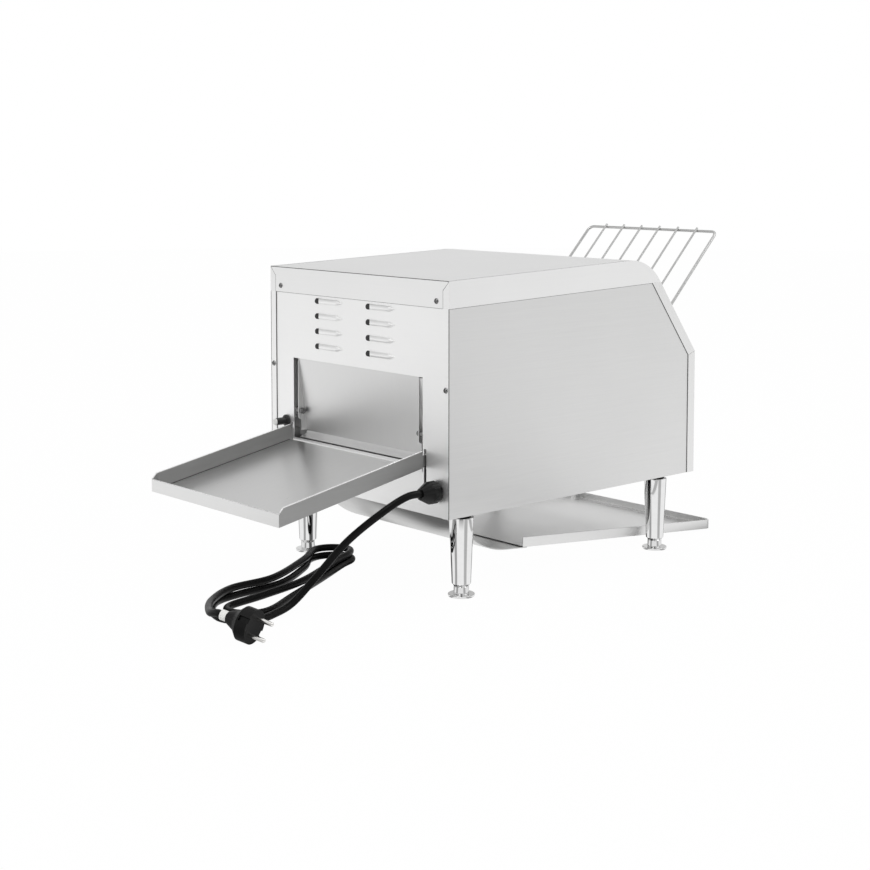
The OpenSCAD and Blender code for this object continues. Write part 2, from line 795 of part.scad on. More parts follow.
module motor_bracket() {
  edge = 8;
  half = motor_r + edge;
  top = half * 0.9;
  color("silver") placed() {
    difference() {
      box([bracket_x, motor_x], [drive_y - half, drive_y + half], [motor_h - half, motor_h + top]);
      rod_x(motor_shaft_r + 5, bracket_x - cut, motor_x + cut, drive_y, motor_h);
    }
    for (y = [standoff_r - half, half - standoff_r]) for (z = [standoff_r - half, top - 2 * standoff_r])
      rod_x(standoff_r, wall_x + sheet, bracket_x, drive_y + y, motor_h + z);
  }
}

// ---- Electrics ----

module terminal_block() {
  ways = 4;
  way_w = 11;
  block_w = 28;
  block_h = 16;
  well_r = 2.5;
  x0 = -gland_x - block_w / 2;
  y0 = rear_y - leg_rear_inset - leg_top_r - ways * way_w;
  color("ivory") placed() difference() {
    box([x0, x0 + block_w], [y0, y0 + ways * way_w], [inside_h, inside_h + block_h]);
    both_ends(x0 + block_w / 2) for (i = [0 : ways - 1]) translate([0, y0 + (i + 0.5) * way_w, inside_h]) {
      translate([block_w / 4, 0, block_h / 2]) cylinder(r = well_r, h = block_h);
      rod_x(2, block_w / 4, block_w, 0, block_h / 4);
    }
    for (i = [1 : ways - 1])
      box([x0 - cut, x0 + block_w + cut], [y0 + i * way_w - 0.5, y0 + i * way_w + 0.5],
        [inside_h + block_h * 0.6, inside_h + block_h * 2]);
  }
}
module both_ends(middle_x) {
  for (end = [0, 1]) translate([middle_x, 0, 0]) mirror([end, 0, 0]) children();
}

module reset_switch() {
  color("darkgray") placed() difference() {
    union() {
      rod_y(7.5, panel_in_y - 14, panel_in_y, reset_x, reset_h);
      rod_y(reset_bush_r, panel_in_y, rear_in_y + 4, reset_x, reset_h);
      rod_y(reset_bush_r + 1.6, rear_in_y, rear_in_y + 2.4, reset_x, reset_h);
    }
    rod_y(reset_button_r + run_gap, panel_in_y - 10, rear_y + 8, reset_x, reset_h);
  }
}
reset_button_r = 4.7;
reset_travel = 3;
module reset_button() {
  color("black") placed() {
    rod_y(reset_button_r, panel_in_y - 6, rear_y + 17.5, reset_x, reset_h);
    translate([reset_x, rear_y + 17.5, reset_h]) rotate([-90, 0, 0])
      cylinder(r1 = reset_button_r, r2 = reset_button_r - 1.2, h = 1.5);
  }
}

knob_h = base_h + knob_rise;
control_neck_r = 5;
control_bore_r = 3;
lamp_r = 5;
lamp_h = knob_h + 26;
switch_w = 20;
switch_l = 28;
switch_h = knob_h - 20;
module control(x, body_r, body_l) {
  difference() {
    union() {
      rod_y(body_r, front_in_y, front_in_y + body_l, x, knob_h);
      rod_y(control_neck_r, front_y - 4, front_in_y, x, knob_h);
      rod_y(control_neck_r + 3, front_y - 2.5, front_y, x, knob_h);
    }
    rod_y(control_bore_r + run_gap, front_y - 20, front_in_y + 10, x, knob_h);
  }
}
module speed_control() {
  color("dimgray") placed() control(knob_x, 12, 14);
}
module heat_selector() {
  color("dimgray") placed() {
    control(-knob_x, 15, 16);
    box([-knob_x - 17, -knob_x + 17], [front_in_y + 16, front_in_y + 24], [knob_h - 17, knob_h + 17]);
  }
}
// A knob has a bevelled skirt, a finger grip across its face and a stem in the control
module knob(x) {
  skirt_y = front_y - 5;
  face_y = skirt_y - knob_l;
  grip_w = knob_d * 0.24;
  rod_y(control_bore_r, face_y + 3, front_in_y + 8, x, knob_h);
  translate([x, skirt_y, knob_h]) rotate([90, 0, 0]) difference() {
    union() {
      cylinder(d = knob_d, h = knob_l * 0.25);
      translate([0, 0, knob_l * 0.25]) cylinder(d1 = knob_d, d2 = knob_d * 0.86, h = knob_l * 0.15);
      translate([0, 0, knob_l * 0.4]) intersection() {
        cylinder(d = knob_d * 0.84, h = knob_l * 0.6);
        translate([-grip_w / 2, -knob_d / 2, 0]) cube([grip_w, knob_d, knob_l]);
      }
    }
    translate([0, 0, -cut]) cylinder(r = control_neck_r + 4, h = cut + 2.5);
    translate([0, knob_d * 0.3, knob_l]) cube([1.2, knob_d * 0.24, 1.6], center = true);
  }
}
module speed_knob() {
  color("black") placed() knob(knob_x);
}
module heat_knob() {
  color("black") placed() knob(-knob_x);
}
module pilot_lamp() {
  color("orange") placed() {
    rod_y(lamp_r, front_y, front_in_y + 14, 0, lamp_h);
    rod_y(lamp_r + 2, front_y - 2, front_y, 0, lamp_h);
    translate([0, front_y - 2, lamp_h]) rotate([90, 0, 0]) cylinder(r1 = lamp_r, r2 = lamp_r - 2, h = 3);
  }
}

rocker_w = switch_w - 6;
rocker_l = switch_l - 6;
rocker_y = front_y + 2;
rocker_pin_r = 1.5;
rocker_tilt = 9;
module switch_body() {
  wall = 2;
  color("black") placed() difference() {
    union() {
      box([-switch_w / 2 - wall, switch_w / 2 + wall], [front_y - 2, front_y],
        [switch_h - switch_l / 2 - wall, switch_h + switch_l / 2 + wall]);
      box([-switch_w / 2, switch_w / 2], [front_y, front_in_y + 20],
        [switch_h - switch_l / 2, switch_h + switch_l / 2]);
    }
    box([-rocker_w / 2 - slide_gap, rocker_w / 2 + slide_gap], [front_y - 3, front_y + 14],
      [switch_h - rocker_l / 2 - slide_gap, switch_h + rocker_l / 2 + slide_gap]);
    rod_x(rocker_pin_r + run_gap, -rocker_w / 2 - 2, rocker_w / 2 + 2, rocker_y, switch_h);
  }
}
// The rocker's face is two flats that meet in a shallow valley over the pin
module switch_rocker() {
  half = rocker_l / 2 - 1;
  color("firebrick") placed() translate([0, rocker_y, switch_h]) {
    rotate([rocker_tilt, 0, 0]) across(rocker_w) polygon([
      [0, -half * 0.35], [-3, -half], [-6.5, -half + 0.5], [-4.2, 0], [-6.5, half - 0.5], [-3, half],
      [0, half * 0.35], [4, 0]
    ]);
    rod_x(rocker_pin_r, -rocker_w / 2 - 1.5, rocker_w / 2 + 1.5, 0, 0);
  }
}

// ---- Legs and feet ----

leg_low_h = foot_h + 3;
leg_top_h = base_h - collar_h;
leg_stud_r = 4;
foot_neck_r = 9;
foot_disc_h = 3;
foot_stem_l = 20;
module at_legs() {
  for (x = [-leg_x, leg_x]) for (y = [rear_y - leg_rear_inset, front_y + leg_front_inset])
    translate([x, y, 0]) children();
}
module legs() {
  color("silver") placed() at_legs() difference() {
    union() {
      translate([0, 0, foot_h]) cylinder(r1 = foot_neck_r, r2 = leg_low_r, h = leg_low_h - foot_h);
      translate([0, 0, leg_low_h]) cylinder(r1 = leg_low_r, r2 = leg_top_r, h = leg_top_h - leg_low_h);
      translate([0, 0, leg_top_h]) cylinder(r = leg_stud_r, h = collar_h + 12);
    }
    translate([0, 0, foot_h - cut]) cylinder(r = leg_stud_r + run_gap, h = foot_stem_l + cut + 2);
  }
}
module leg_collars() {
  color("black") placed() at_legs() translate([0, 0, leg_top_h]) difference() {
    cylinder(r = leg_top_r - 1.5, h = collar_h);
    translate([0, 0, -cut]) cylinder(r = leg_stud_r + 0.1, h = collar_h + 2 * cut);
  }
}
module leg_nuts() {
  color("silver") placed() at_legs() translate([0, 0, inside_h]) difference() {
    cylinder(d = 15, h = 6.5, $fn = 6);
    translate([0, 0, -cut]) cylinder(r = leg_stud_r + seat_gap, h = 10);
  }
}
module foot(x, y) {
  color("silver") placed() translate([x, y, 0]) {
    cylinder(r = foot_r, h = foot_disc_h);
    translate([0, 0, foot_disc_h]) cylinder(r = foot_neck_r, h = foot_h - foot_disc_h);
    translate([0, 0, foot_h]) cylinder(r = leg_stud_r, h = foot_stem_l);
  }
}
module foot_front_left() { foot(-leg_x, front_y + leg_front_inset); }
module foot_front_right() { foot(leg_x, front_y + leg_front_inset); }
module foot_rear_left() { foot(-leg_x, rear_y - leg_rear_inset); }
module foot_rear_right() { foot(leg_x, rear_y - leg_rear_inset); }

// ---- Feed rack ----

rack_rod_reach = rack_half + 8;
rack_second = 20;
weld = 0.3;
module on_rack() {
  translate([0, rack_low[0], rack_low[1]]) rotate([180 - rack_angle, 0, 0]) children();
}
// The frame rod runs up one side, round two corners and down the other; wires lie on the cross rods
module feed_rack() {
  corner_r = 8;
  wire_z = -(rack_rod_r + rack_wire_r - weld);
  color("silver") placed() on_rack() {
    both_sides() {
      translate([rack_half, 0, 0]) rotate([-90, 0, 0]) cylinder(r = rack_rod_r, h = rack_l - corner_r);
      translate([rack_half - corner_r, rack_l - corner_r, 0]) rotate_extrude(angle = 90)
        translate([corner_r, 0]) circle(r = rack_rod_r);
    }
    rod_x(rack_rod_r, -rack_half + corner_r, rack_half - corner_r, rack_l, 0);
    for (s = [0, rack_second]) rod_x(rack_rod_r, -rack_rod_reach, rack_rod_reach, s, 0);
    for (i = [1 : rack_gaps - 1]) translate([-rack_half + i * 2 * rack_half / rack_gaps, -1, wire_z])
      rotate([-90, 0, 0]) cylinder(r = rack_wire_r, h = rack_l + 4);
  }
}
// The rack's two cross rods slide down into a slot in each bracket
module rack_brackets() {
  plate_x = rack_half + 4;
  plate_t = 2;
  slot_r = rack_rod_r + slide_gap;
  reach = [-6, rack_second + 10];
  under = -9;
  above = 7;
  foot_l = 11;
  color("silver") placed() on_rack() both_sides() {
    difference() {
      box([plate_x, plate_x + plate_t], reach, [under, above]);
      rod_x(slot_r, plate_x - cut, plate_x + plate_t + cut, 0, 0);
      box([plate_x - cut, plate_x + plate_t + cut], [0, reach[1] + cut], [-slot_r, slot_r]);
    }
    box([plate_x + plate_t, wall_x], reach, [under, under + plate_t]);
    box([wall_x - sheet, wall_x], reach, [under - foot_l, under]);
  }
}

// ---- Deflector ----

pivot_y = rear_y - pivot_inset;
pivot_h = base_h + pivot_rise;
deflector_set = 4.6;
// Turns a point of the plate, drawn upright, to the plate's lean
function leaned(p) = [
  p[0] * cos(deflector_lean) + p[1] * sin(deflector_lean),
  p[1] * cos(deflector_lean) - p[0] * sin(deflector_lean)
];
module deflector() {
  flange_y = pivot_inset - 2;
  knuckle_z = -7;
  relief = 1;
  low = leaned([-deflector_set - sheet / 2, relief - deflector_down]);
  high = leaned([-deflector_set - sheet / 2, deflector_up - relief]);
  color("lightgray") placed() translate([0, pivot_y, pivot_h]) {
    rotate([-deflector_lean, 0, 0]) box([-deflector_w / 2, deflector_w / 2],
      [-deflector_set - sheet, -deflector_set], [-deflector_down, deflector_up]);
    both_sides() difference() {
      between_x(deflector_w / 2 - sheet, deflector_w / 2) polygon(concat(
        [low, [0, low[1]]], arc([0, knuckle_z], flange_y, -90, 0, 8), [[flange_y, high[1]], high]
      ));
      rod_x(pivot_r + run_gap, 0, side_x, 0, 0);
    }
  }
}
module deflector_bolts() {
  flange_in = deflector_w / 2 - sheet - slide_gap;
  flange_out = deflector_w / 2 + slide_gap;
  jamb_x = rear_opening_w / 2;
  color("silver") placed() both_sides() {
    rod_x(pivot_r, flange_in - 5, jamb_x + 4, pivot_y, pivot_h);
    translate([flange_in - 3.4, pivot_y, pivot_h]) rotate([0, 90, 0]) cylinder(d = 8, h = 3.4, $fn = 6);
    rod_x(4, flange_out, jamb_x, pivot_y, pivot_h);
    rod_x(4, jamb_x + sheet, jamb_x + sheet + 2.6, pivot_y, pivot_h);
  }
}

// ---- Chute and front tray ----

tray_front_y = front_y - tray_reach;
tray_foot = [tray_front_y, tray_clear];
chute_foot = [tray_front_y, tray_clear - sheet - slide_gap];
ridge = [rear_y - ridge_inset, opening_low_h + 8.5];
chute_end_y = rear_y - chute_end_inset;
chute_bend = meet(along(chute_foot, tray_slope + 90, chute_r), tray_slope,
  along(ridge, chute_slope + 90, chute_r), chute_slope);
function chute_line(y) = chute_foot[1] + (y - chute_foot[0]) * tan(tray_slope);
function tray_line(y) = tray_foot[1] + (y - tray_foot[0]) * tan(tray_slope);

// The chute falls from the rear opening, bends forward under the body and hands over to the front tray
module lower_chute() {
  bottom = concat([[chute_end_y, chute_line(chute_end_y)]],
    arc(chute_bend, chute_r, tray_slope - 90, chute_slope - 90, 16), [ridge]);
  top = concat([along(ridge, chute_slope + 90, sheet)],
    arc(chute_bend, chute_r - sheet, chute_slope - 90, tray_slope - 90, 16),
    [[chute_end_y, chute_line(chute_end_y) + sheet]]);
  lip = along(ridge, -20, panel_in_y - slide_gap - ridge[0]);
  flange_low = inside_h + 4;
  color("silver") placed() {
    across(chute_w) polygon(concat(bottom, top));
    across(chute_w - 16) polygon([ridge, along(ridge, chute_slope + 90, sheet), along(lip, 90, sheet), lip]);
    both_sides() intersection() {
      between_x(chute_w / 2, wall_x)
        polygon(concat(bottom, [[ridge[0] - 14, ridge[1]], [chute_bend[0], flange_low]]));
      box([0, side_x], [0, rear_y], [flange_low, ridge[1]]);
    }
  }
}

// The front tray's floor, in plan, with its two round front corners
module tray_plan(inset) {
  half = tray_w / 2 - inset;
  front = tray_front_y + inset;
  back = chute_end_y + tray_overlap;
  translate([-half, front + tray_corner_r]) square([2 * half, back - front - tray_corner_r]);
  translate([-half + tray_corner_r, front]) square([2 * (half - tray_corner_r), tray_corner_r * 2]);
  for (side = [-1, 1]) translate([side * (half - tray_corner_r), front + tray_corner_r])
    circle(r = tray_corner_r);
}
module tray_space(low, high) {
  back = chute_end_y + tray_overlap;
  across(tray_w * 2) polygon([
    [tray_front_y - cut, tray_line(tray_front_y - cut) + low], [back + cut, tray_line(back + cut) + low],
    [back + cut, tray_line(back + cut) + high], [tray_front_y - cut, tray_line(tray_front_y - cut) + high]
  ]);
}
module front_tray() {
  color("darkgray") placed() {
    intersection() {
      linear_extrude(base_h) tray_plan(0);
      tray_space(0, sheet);
    }
    difference() {
      intersection() {
        linear_extrude(base_h) tray_plan(0);
        tray_space(0, tray_wall);
      }
      translate([0, 0, -cut]) linear_extrude(base_h) tray_plan(sheet);
      box([-tray_w / 2 + sheet, tray_w / 2 - sheet], [chute_end_y, chute_end_y + tray_overlap * 2],
        [0, base_h]);
    }
  }
}

// ---- Rear tray ----

tray_out_half = rear_tray_w / 2;
hem_d = 8;
tongue_l = 15;
module rear_tray() {
  top_in = base_h + rear_tray_rise;
  drop = rear_tray_l * tan(rear_tray_slope);
  floor_in = top_in - rear_tray_wall;
  side_shape = [
    [tray_inner_y, floor_in], [tray_outer_y, floor_in - drop],
    [tray_outer_y, floor_in - drop + rear_tray_end],
    [tray_outer_y - 6, top_in - (rear_tray_l - 6) * tan(rear_tray_slope)], [tray_inner_y, top_in]
  ];
  color("darkgray") placed() {
    across(rear_tray_w) polygon([
      [tray_inner_y, floor_in], [tray_outer_y, floor_in - drop],
      [tray_outer_y, floor_in - drop + sheet], [tray_inner_y, floor_in + sheet]
    ]);
    box([-tray_out_half, tray_out_half], [tray_outer_y - sheet, tray_outer_y],
      [floor_in - drop + sheet / 2, floor_in - drop + rear_tray_end]);
    both_sides() {
      between_x(tray_out_half - sheet, tray_out_half) polygon(side_shape);
      between_x(tray_out_half - 2 * sheet, tray_out_half - sheet) polygon([
        [tray_inner_y, top_in - hem_d],
        [tray_outer_y - 7, top_in - hem_d - (rear_tray_l - 7) * tan(rear_tray_slope)],
        [tray_outer_y - 7, top_in - (rear_tray_l - 7) * tan(rear_tray_slope)], [tray_inner_y, top_in]
      ]);
      box([tray_out_half - sheet, tray_out_half], [tray_inner_y - tongue_l, tray_inner_y + 2],
        [floor_in + 1, top_in - 5]);
    }
  }
}

// ---- Power cord ----

gland_nut_l = 9;
gland_out_y = rear_in_y + 25;
cord_hole_r = cord_d / 2 + 0.1;
module cable_gland() {
  color("black") placed() difference() {
    union() {
      rod_y(gland_d / 2 - 1, rear_in_y, rear_in_y + 4, -gland_x, gland_h);
      translate([-gland_x, rear_in_y + 4, gland_h]) rotate([-90, 0, 0])
        cylinder(d = gland_d, h = gland_nut_l);
      for (i = [0 : 11])
        translate([-gland_x, rear_in_y + 4, gland_h]) rotate([0, i * 30, 0]) rotate([-90, 0, 0])
          translate([gland_d / 2 - 0.4, 0, 0]) cylinder(r = 1, h = gland_nut_l - 1);
      translate([-gland_x, rear_in_y + 4 + gland_nut_l, gland_h]) rotate([-90, 0, 0])
        cylinder(d1 = gland_d, d2 = cord_d + 5, h = gland_out_y - rear_in_y - 4 - gland_nut_l);
      rod_y(gland_thread_r, panel_in_y - 12, rear_in_y, -gland_x, gland_h);
      translate([-gland_x, panel_in_y - 6, gland_h]) rotate([-90, 0, 0])
        cylinder(d = gland_d - 2, h = 6, $fn = 6);
    }
    rod_y(cord_hole_r, panel_in_y - 13, gland_out_y + cut, -gland_x, gland_h);
  }
}

// The cord's route, round the middle of the body: it leaves the gland and falls to the table beside the
// plug, lies there as a folded hank with its two far folds one on the other, and ends in the plug
CORD_ROUTE = [
  [-149, 236, 130], [-148, 262, 130], [-137, 290, 114], [-108, 318, 80], [-83, 343, 39], [-73, 370, 11],
  [-79, 402, 5], [-84, 426, 5], [-73, 446, 5], [-49, 454, 5], [-18, 443, 5], [7, 418, 5],
  [16, 382, 5], [23, 316, 5], [62, 252, 5], [90, 222, 5], [96, 197, 5], [82, 176, 5],
  [58, 178, 5], [42, 208, 5], [8, 266, 5], [-33, 340, 5], [-62, 392, 5], [-60, 418, 5],
  [-39, 432, 5], [-18, 418, 5], [-18, 370, 9], [-12, 308, 14], [36, 222, 14], [53, 188, 14],
  [72, 172, 14], [94, 183, 14], [98, 208, 14], [66, 250, 14], [22, 328, 14], [16, 392, 14],
  [-16, 442, 15], [-72, 482, 22], [-101, 490, 28], [-118, 484, 24]
];

// A smooth curve through the route, with two rings for each stretch, and the tube swept along it
CORD_SIDES = 10;
CORD_STEPS = 2;
function route(i) =
  i < 0 ? 2 * CORD_ROUTE[0] - CORD_ROUTE[1]
  : i >= len(CORD_ROUTE) ? 2 * CORD_ROUTE[len(CORD_ROUTE) - 1] - CORD_ROUTE[len(CORD_ROUTE) - 2]
  : CORD_ROUTE[i];
function spline(i, t) = 0.5 * (
  2 * route(i) + (route(i + 1) - route(i - 1)) * t
  + (2 * route(i - 1) - 5 * route(i) + 4 * route(i + 1) - route(i + 2)) * t * t
  + (3 * route(i) - route(i - 1) - 3 * route(i + 1) + route(i + 2)) * t * t * t
);
function cord_line() = concat(
  [for (i = [0 : len(CORD_ROUTE) - 2]) for (k = [0 : CORD_STEPS - 1]) spline(i, k / CORD_STEPS)],
  [CORD_ROUTE[len(CORD_ROUTE) - 1]]
);
function unit(v) = v / norm(v);
function heading(line, i) = unit(line[min(i + 1, len(line) - 1)] - line[max(i - 1, 0)]);
// Each ring's upright is carried on from the ring before, so that the tube doesn't twist
function carried(line, i, up) = unit(up - (up * heading(line, i)) * heading(line, i));
function uprights(line) = [
  for (i = 0, up = carried(line, 0, [0, 0, 1]); i < len(line);
    i = i + 1, up = carried(line, min(i, len(line) - 1), up)) up
];
function ring_point(line, ups, i, k) =
  let (up = ups[i], across = cross(heading(line, i), up), a = k * 360 / CORD_SIDES)
  line[i] + cord_d / 2 * (cos(a) * up + sin(a) * across);

module cord() {
  line = cord_line();
  ups = uprights(line);
  last = len(line) - 1;
  points = [for (i = [0 : last]) for (k = [0 : CORD_SIDES - 1]) ring_point(line, ups, i, k)];
  sides = [for (i = [0 : last - 1]) for (k = [0 : CORD_SIDES - 1]) let (next = (k + 1) % CORD_SIDES)
    [i * CORD_SIDES + k, i * CORD_SIDES + next, (i + 1) * CORD_SIDES + next, (i + 1) * CORD_SIDES + k]];
  start = [for (k = [0 : CORD_SIDES - 1]) CORD_SIDES - 1 - k];
  end = [for (k = [0 : CORD_SIDES - 1]) last * CORD_SIDES + k];
  color("black") placed() polyhedron(points = points, faces = concat(sides, [start, end]));
}

// The plug lies on the table on the rim of its face, turned to the side and tipped forward
plug_d = 38;
plug_l = 34;
plug_face = [-145, 474, plug_d / 2];
plug_turn = 20;
plug_tip = 11;
plug_pin_a = 37;
plug_pin_r = 2.4;
plug_pin_l = 19;
plug_pin_half = 9.5;
module at_plug() {
  translate(plug_face) rotate([plug_pin_a, -plug_tip, plug_turn]) children();
}
module cone_x(d1, d2, a, b) {
  translate([a, 0, 0]) rotate([0, 90, 0]) cylinder(d1 = d1, d2 = d2, h = b - a);
}
module plug_body() {
  head_l = 14;
  waist_l = 22;
  waist_d = plug_d * 0.62;
  clip_w = 5;
  color("black") placed() at_plug() difference() {
    union() {
      cone_x(plug_d, plug_d, 0, head_l);
      cone_x(plug_d, waist_d, head_l, waist_l);
      cone_x(waist_d, cord_d + 5, waist_l, plug_l);
    }
    for (side = [-1, 1]) {
      box([-cut, head_l - 2], [(side * plug_d - clip_w) / 2, (side * plug_d + clip_w) / 2], [-3, 3]);
      rod_x(plug_pin_r + seat_gap, -cut, 6, 0, side * plug_pin_half);
    }
    rod_x(cord_hole_r, plug_l - 8, plug_l + cut, 0, 0);
  }
}
module plug_pins() {
  tip_l = 1.5;
  color("silver") placed() at_plug() for (side = [-1, 1]) {
    rod_x(plug_pin_r, tip_l - plug_pin_l, 6, 0, side * plug_pin_half);
    translate([0, 0, side * plug_pin_half])
      cone_x(plug_pin_r * 0.9, plug_pin_r * 2, -plug_pin_l, tip_l - plug_pin_l);
  }
}

// A blank paper tag wrapped round the cord next to the plug, with its two ends stuck together
module cord_tag() {
  tag_w = 8;
  tag_r = cord_d / 2 + 2 * slide_gap;
  tag_t = 0.8;
  flap_l = 5;
  color("white") placed() at_plug() translate([plug_l + 1, 0, 0]) difference() {
    union() {
      rod_x(tag_r + tag_t, 0, tag_w, 0, 0);
      box([0, tag_w], [-tag_r - flap_l, 0], [-tag_t / 2, tag_t / 2]);
    }
    rod_x(tag_r, -cut, tag_w + cut, 0, 0);
  }
}

top_cover();
left_side_panel();
right_side_panel();
rear_panel();
front_panel();
base_plate();
left_inner_wall();
right_inner_wall();
front_partition();
upper_reflector();
lower_reflector();
upper_elements();
lower_elements();
element_insulators();
conveyor_belt();
belt_guides();
drive_shaft();
drive_sprockets();
idler_shaft();
idler_sprockets();
shaft_bushes();
gear_motor();
motor_bracket();
motor_sprocket();
chain_sprocket();
drive_chain();
terminal_block();
reset_switch();
reset_button();
switch_body();
switch_rocker();
pilot_lamp();
speed_control();
speed_knob();
heat_selector();
heat_knob();
legs();
leg_collars();
leg_nuts();
foot_front_left();
foot_front_right();
foot_rear_left();
foot_rear_right();
feed_rack();
rack_brackets();
deflector();
deflector_bolts();
lower_chute();
front_tray();
rear_tray();
cable_gland();
cord();
plug_body();
plug_pins();
cord_tag();
cover_screws();
panel_screws();
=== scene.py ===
import json
import math

import bmesh
import bpy
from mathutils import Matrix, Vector


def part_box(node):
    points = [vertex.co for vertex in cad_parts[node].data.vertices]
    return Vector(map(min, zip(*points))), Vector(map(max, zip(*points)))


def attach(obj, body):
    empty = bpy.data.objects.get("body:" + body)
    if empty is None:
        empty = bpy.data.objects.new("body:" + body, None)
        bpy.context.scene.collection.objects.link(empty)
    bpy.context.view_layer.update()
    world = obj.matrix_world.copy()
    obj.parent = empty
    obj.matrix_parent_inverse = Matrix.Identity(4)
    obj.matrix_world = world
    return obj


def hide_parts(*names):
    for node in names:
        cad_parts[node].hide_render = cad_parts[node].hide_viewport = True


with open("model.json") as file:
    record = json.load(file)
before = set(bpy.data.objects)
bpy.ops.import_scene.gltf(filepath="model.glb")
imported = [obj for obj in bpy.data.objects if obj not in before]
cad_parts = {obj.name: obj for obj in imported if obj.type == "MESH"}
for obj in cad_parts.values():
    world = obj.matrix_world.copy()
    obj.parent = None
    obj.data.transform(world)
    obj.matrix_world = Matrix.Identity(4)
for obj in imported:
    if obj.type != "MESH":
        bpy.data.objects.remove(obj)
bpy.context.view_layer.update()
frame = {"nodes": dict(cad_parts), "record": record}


# ---- Table and studio ----
# A wide pale table top that runs out to a white background, under two large soft lamps. The studio world
# gives bright metal a dim band under the ceiling and a dark room on one side; grey flats beside the legs, and
# the dark room far off, are a painted reflection in the table's glow that only glossy rays see.

scene = bpy.context.scene
scene.view_settings.view_transform = "Standard"

table_radius = 7.0
table_colour = (0.9, 0.9, 0.9, 1)
table_glow = 0.98


def new_tree(name):
    material = bpy.data.materials.new(name)
    material.use_nodes = True
    tree = material.node_tree
    tree.nodes.clear()
    return material, tree


def maths(tree, operation, first, second=0.0):
    node = tree.nodes.new("ShaderNodeMath")
    node.operation = operation
    for place, value in enumerate((first, second)):
        if isinstance(value, (int, float)):
            node.inputs[place].default_value = value
        else:
            tree.links.new(value, node.inputs[place])
    return node.outputs[0]


def flat_shade(tree, bearing, middle, half, grey):
    """1 away from a flat at the bearing middle, in radians, and the flat's grey inside it."""
    near = maths(tree, "COSINE", maths(tree, "SUBTRACT", bearing, math.radians(middle)))
    edge = tree.nodes.new("ShaderNodeMapRange")
    edge.interpolation_type = "SMOOTHSTEP"
    edge.inputs["From Min"].default_value = math.cos(math.radians(half * 1.3))
    edge.inputs["From Max"].default_value = math.cos(math.radians(half * 0.7))
    edge.inputs["To Min"].default_value = 1.0
    edge.inputs["To Max"].default_value = grey
    tree.links.new(near, edge.inputs["Value"])
    return edge.outputs[0]


# Each painted flat in the table's glow for glossy rays beside a leg: its bearing from the leg's axis, away
# from the middle, its half width and grey
painted_leg_flats = ((0, 15, 0.5), (102, 13, 0.4), (172, 14, 0.12))
leg_place = (0.149, 0.174)
# The dark side of the room: its bearing from +X towards +Y, its half width and its grey
dark_side = (138, 15, 0.25)
dark_side_from = 0.55


def painted_table_reflection(tree):
    """Painted reflection: the table's glow for glossy rays, darkened in flats round each leg and towards the
    dark room far off.
    """
    parts = tree.nodes.new("ShaderNodeSeparateXYZ")
    tree.links.new(tree.nodes.new("ShaderNodeTexCoord").outputs["Object"], parts.inputs[0])
    middle_y = (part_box("legs")[0].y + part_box("legs")[1].y) / 2
    across = maths(tree, "SUBTRACT", maths(tree, "ABSOLUTE", parts.outputs["X"]), leg_place[0])
    deep = maths(tree, "ABSOLUTE", maths(tree, "SUBTRACT", parts.outputs["Y"], middle_y))
    deep = maths(tree, "SUBTRACT", deep, leg_place[1])
    bearing = maths(tree, "ABSOLUTE", maths(tree, "ARCTAN2", deep, across))
    level = 1.0
    for middle, half, grey in painted_leg_flats:
        level = maths(tree, "MULTIPLY", level, flat_shade(tree, bearing, middle, half, grey))
    reach = tree.nodes.new("ShaderNodeVectorMath")
    reach.operation = "LENGTH"
    tree.links.new(parts.inputs[0].links[0].from_socket, reach.inputs[0])
    far = tree.nodes.new("ShaderNodeMapRange")
    far.inputs["From Min"].default_value = dark_side_from
    far.inputs["From Max"].default_value = dark_side_from * 1.4
    tree.links.new(reach.outputs["Value"], far.inputs["Value"])
    shade = flat_shade(tree, maths(tree, "ARCTAN2", parts.outputs["Y"], parts.outputs["X"]), *dark_side)
    dim = maths(tree, "MULTIPLY", maths(tree, "SUBTRACT", 1.0, shade), far.outputs[0])
    return maths(tree, "MULTIPLY", level, maths(tree, "SUBTRACT", 1.0, dim))


def table_material():
    material, tree = new_tree("table top")
    matt = tree.nodes.new("ShaderNodeBsdfDiffuse")
    matt.inputs["Color"].default_value = table_colour
    glow = tree.nodes.new("ShaderNodeEmission")
    path = tree.nodes.new("ShaderNodeLightPath")
    seen = maths(tree, "MAXIMUM", path.outputs["Is Camera Ray"], path.outputs["Is Glossy Ray"])
    seen = maths(tree, "MAXIMUM", seen, path.outputs["Is Transmission Ray"])
    strength = tree.nodes.new("ShaderNodeMix")
    strength.inputs["A"].default_value = 1.0
    tree.links.new(path.outputs["Is Glossy Ray"], strength.inputs["Factor"])
    tree.links.new(painted_table_reflection(tree), strength.inputs["B"])
    tree.links.new(strength.outputs["Result"], glow.inputs["Strength"])
    mix = tree.nodes.new("ShaderNodeMixShader")
    tree.links.new(maths(tree, "MULTIPLY", seen, table_glow), mix.inputs[0])
    tree.links.new(matt.outputs[0], mix.inputs[1])
    tree.links.new(glow.outputs[0], mix.inputs[2])
    out = tree.nodes.new("ShaderNodeOutputMaterial")
    tree.links.new(mix.outputs[0], out.inputs["Surface"])
    return material


bpy.ops.mesh.primitive_circle_add(vertices=96, radius=table_radius, fill_type="NGON")
table = bpy.context.object
table.name = "table_top"
table.data.materials.append(table_material())

# Grey of the room at each height, from the horizon (0) to straight overhead (1)
room_greys = ((0.0, 0.82), (0.4, 0.82), (0.52, 0.5), (0.66, 0.5), (0.84, 1.0))


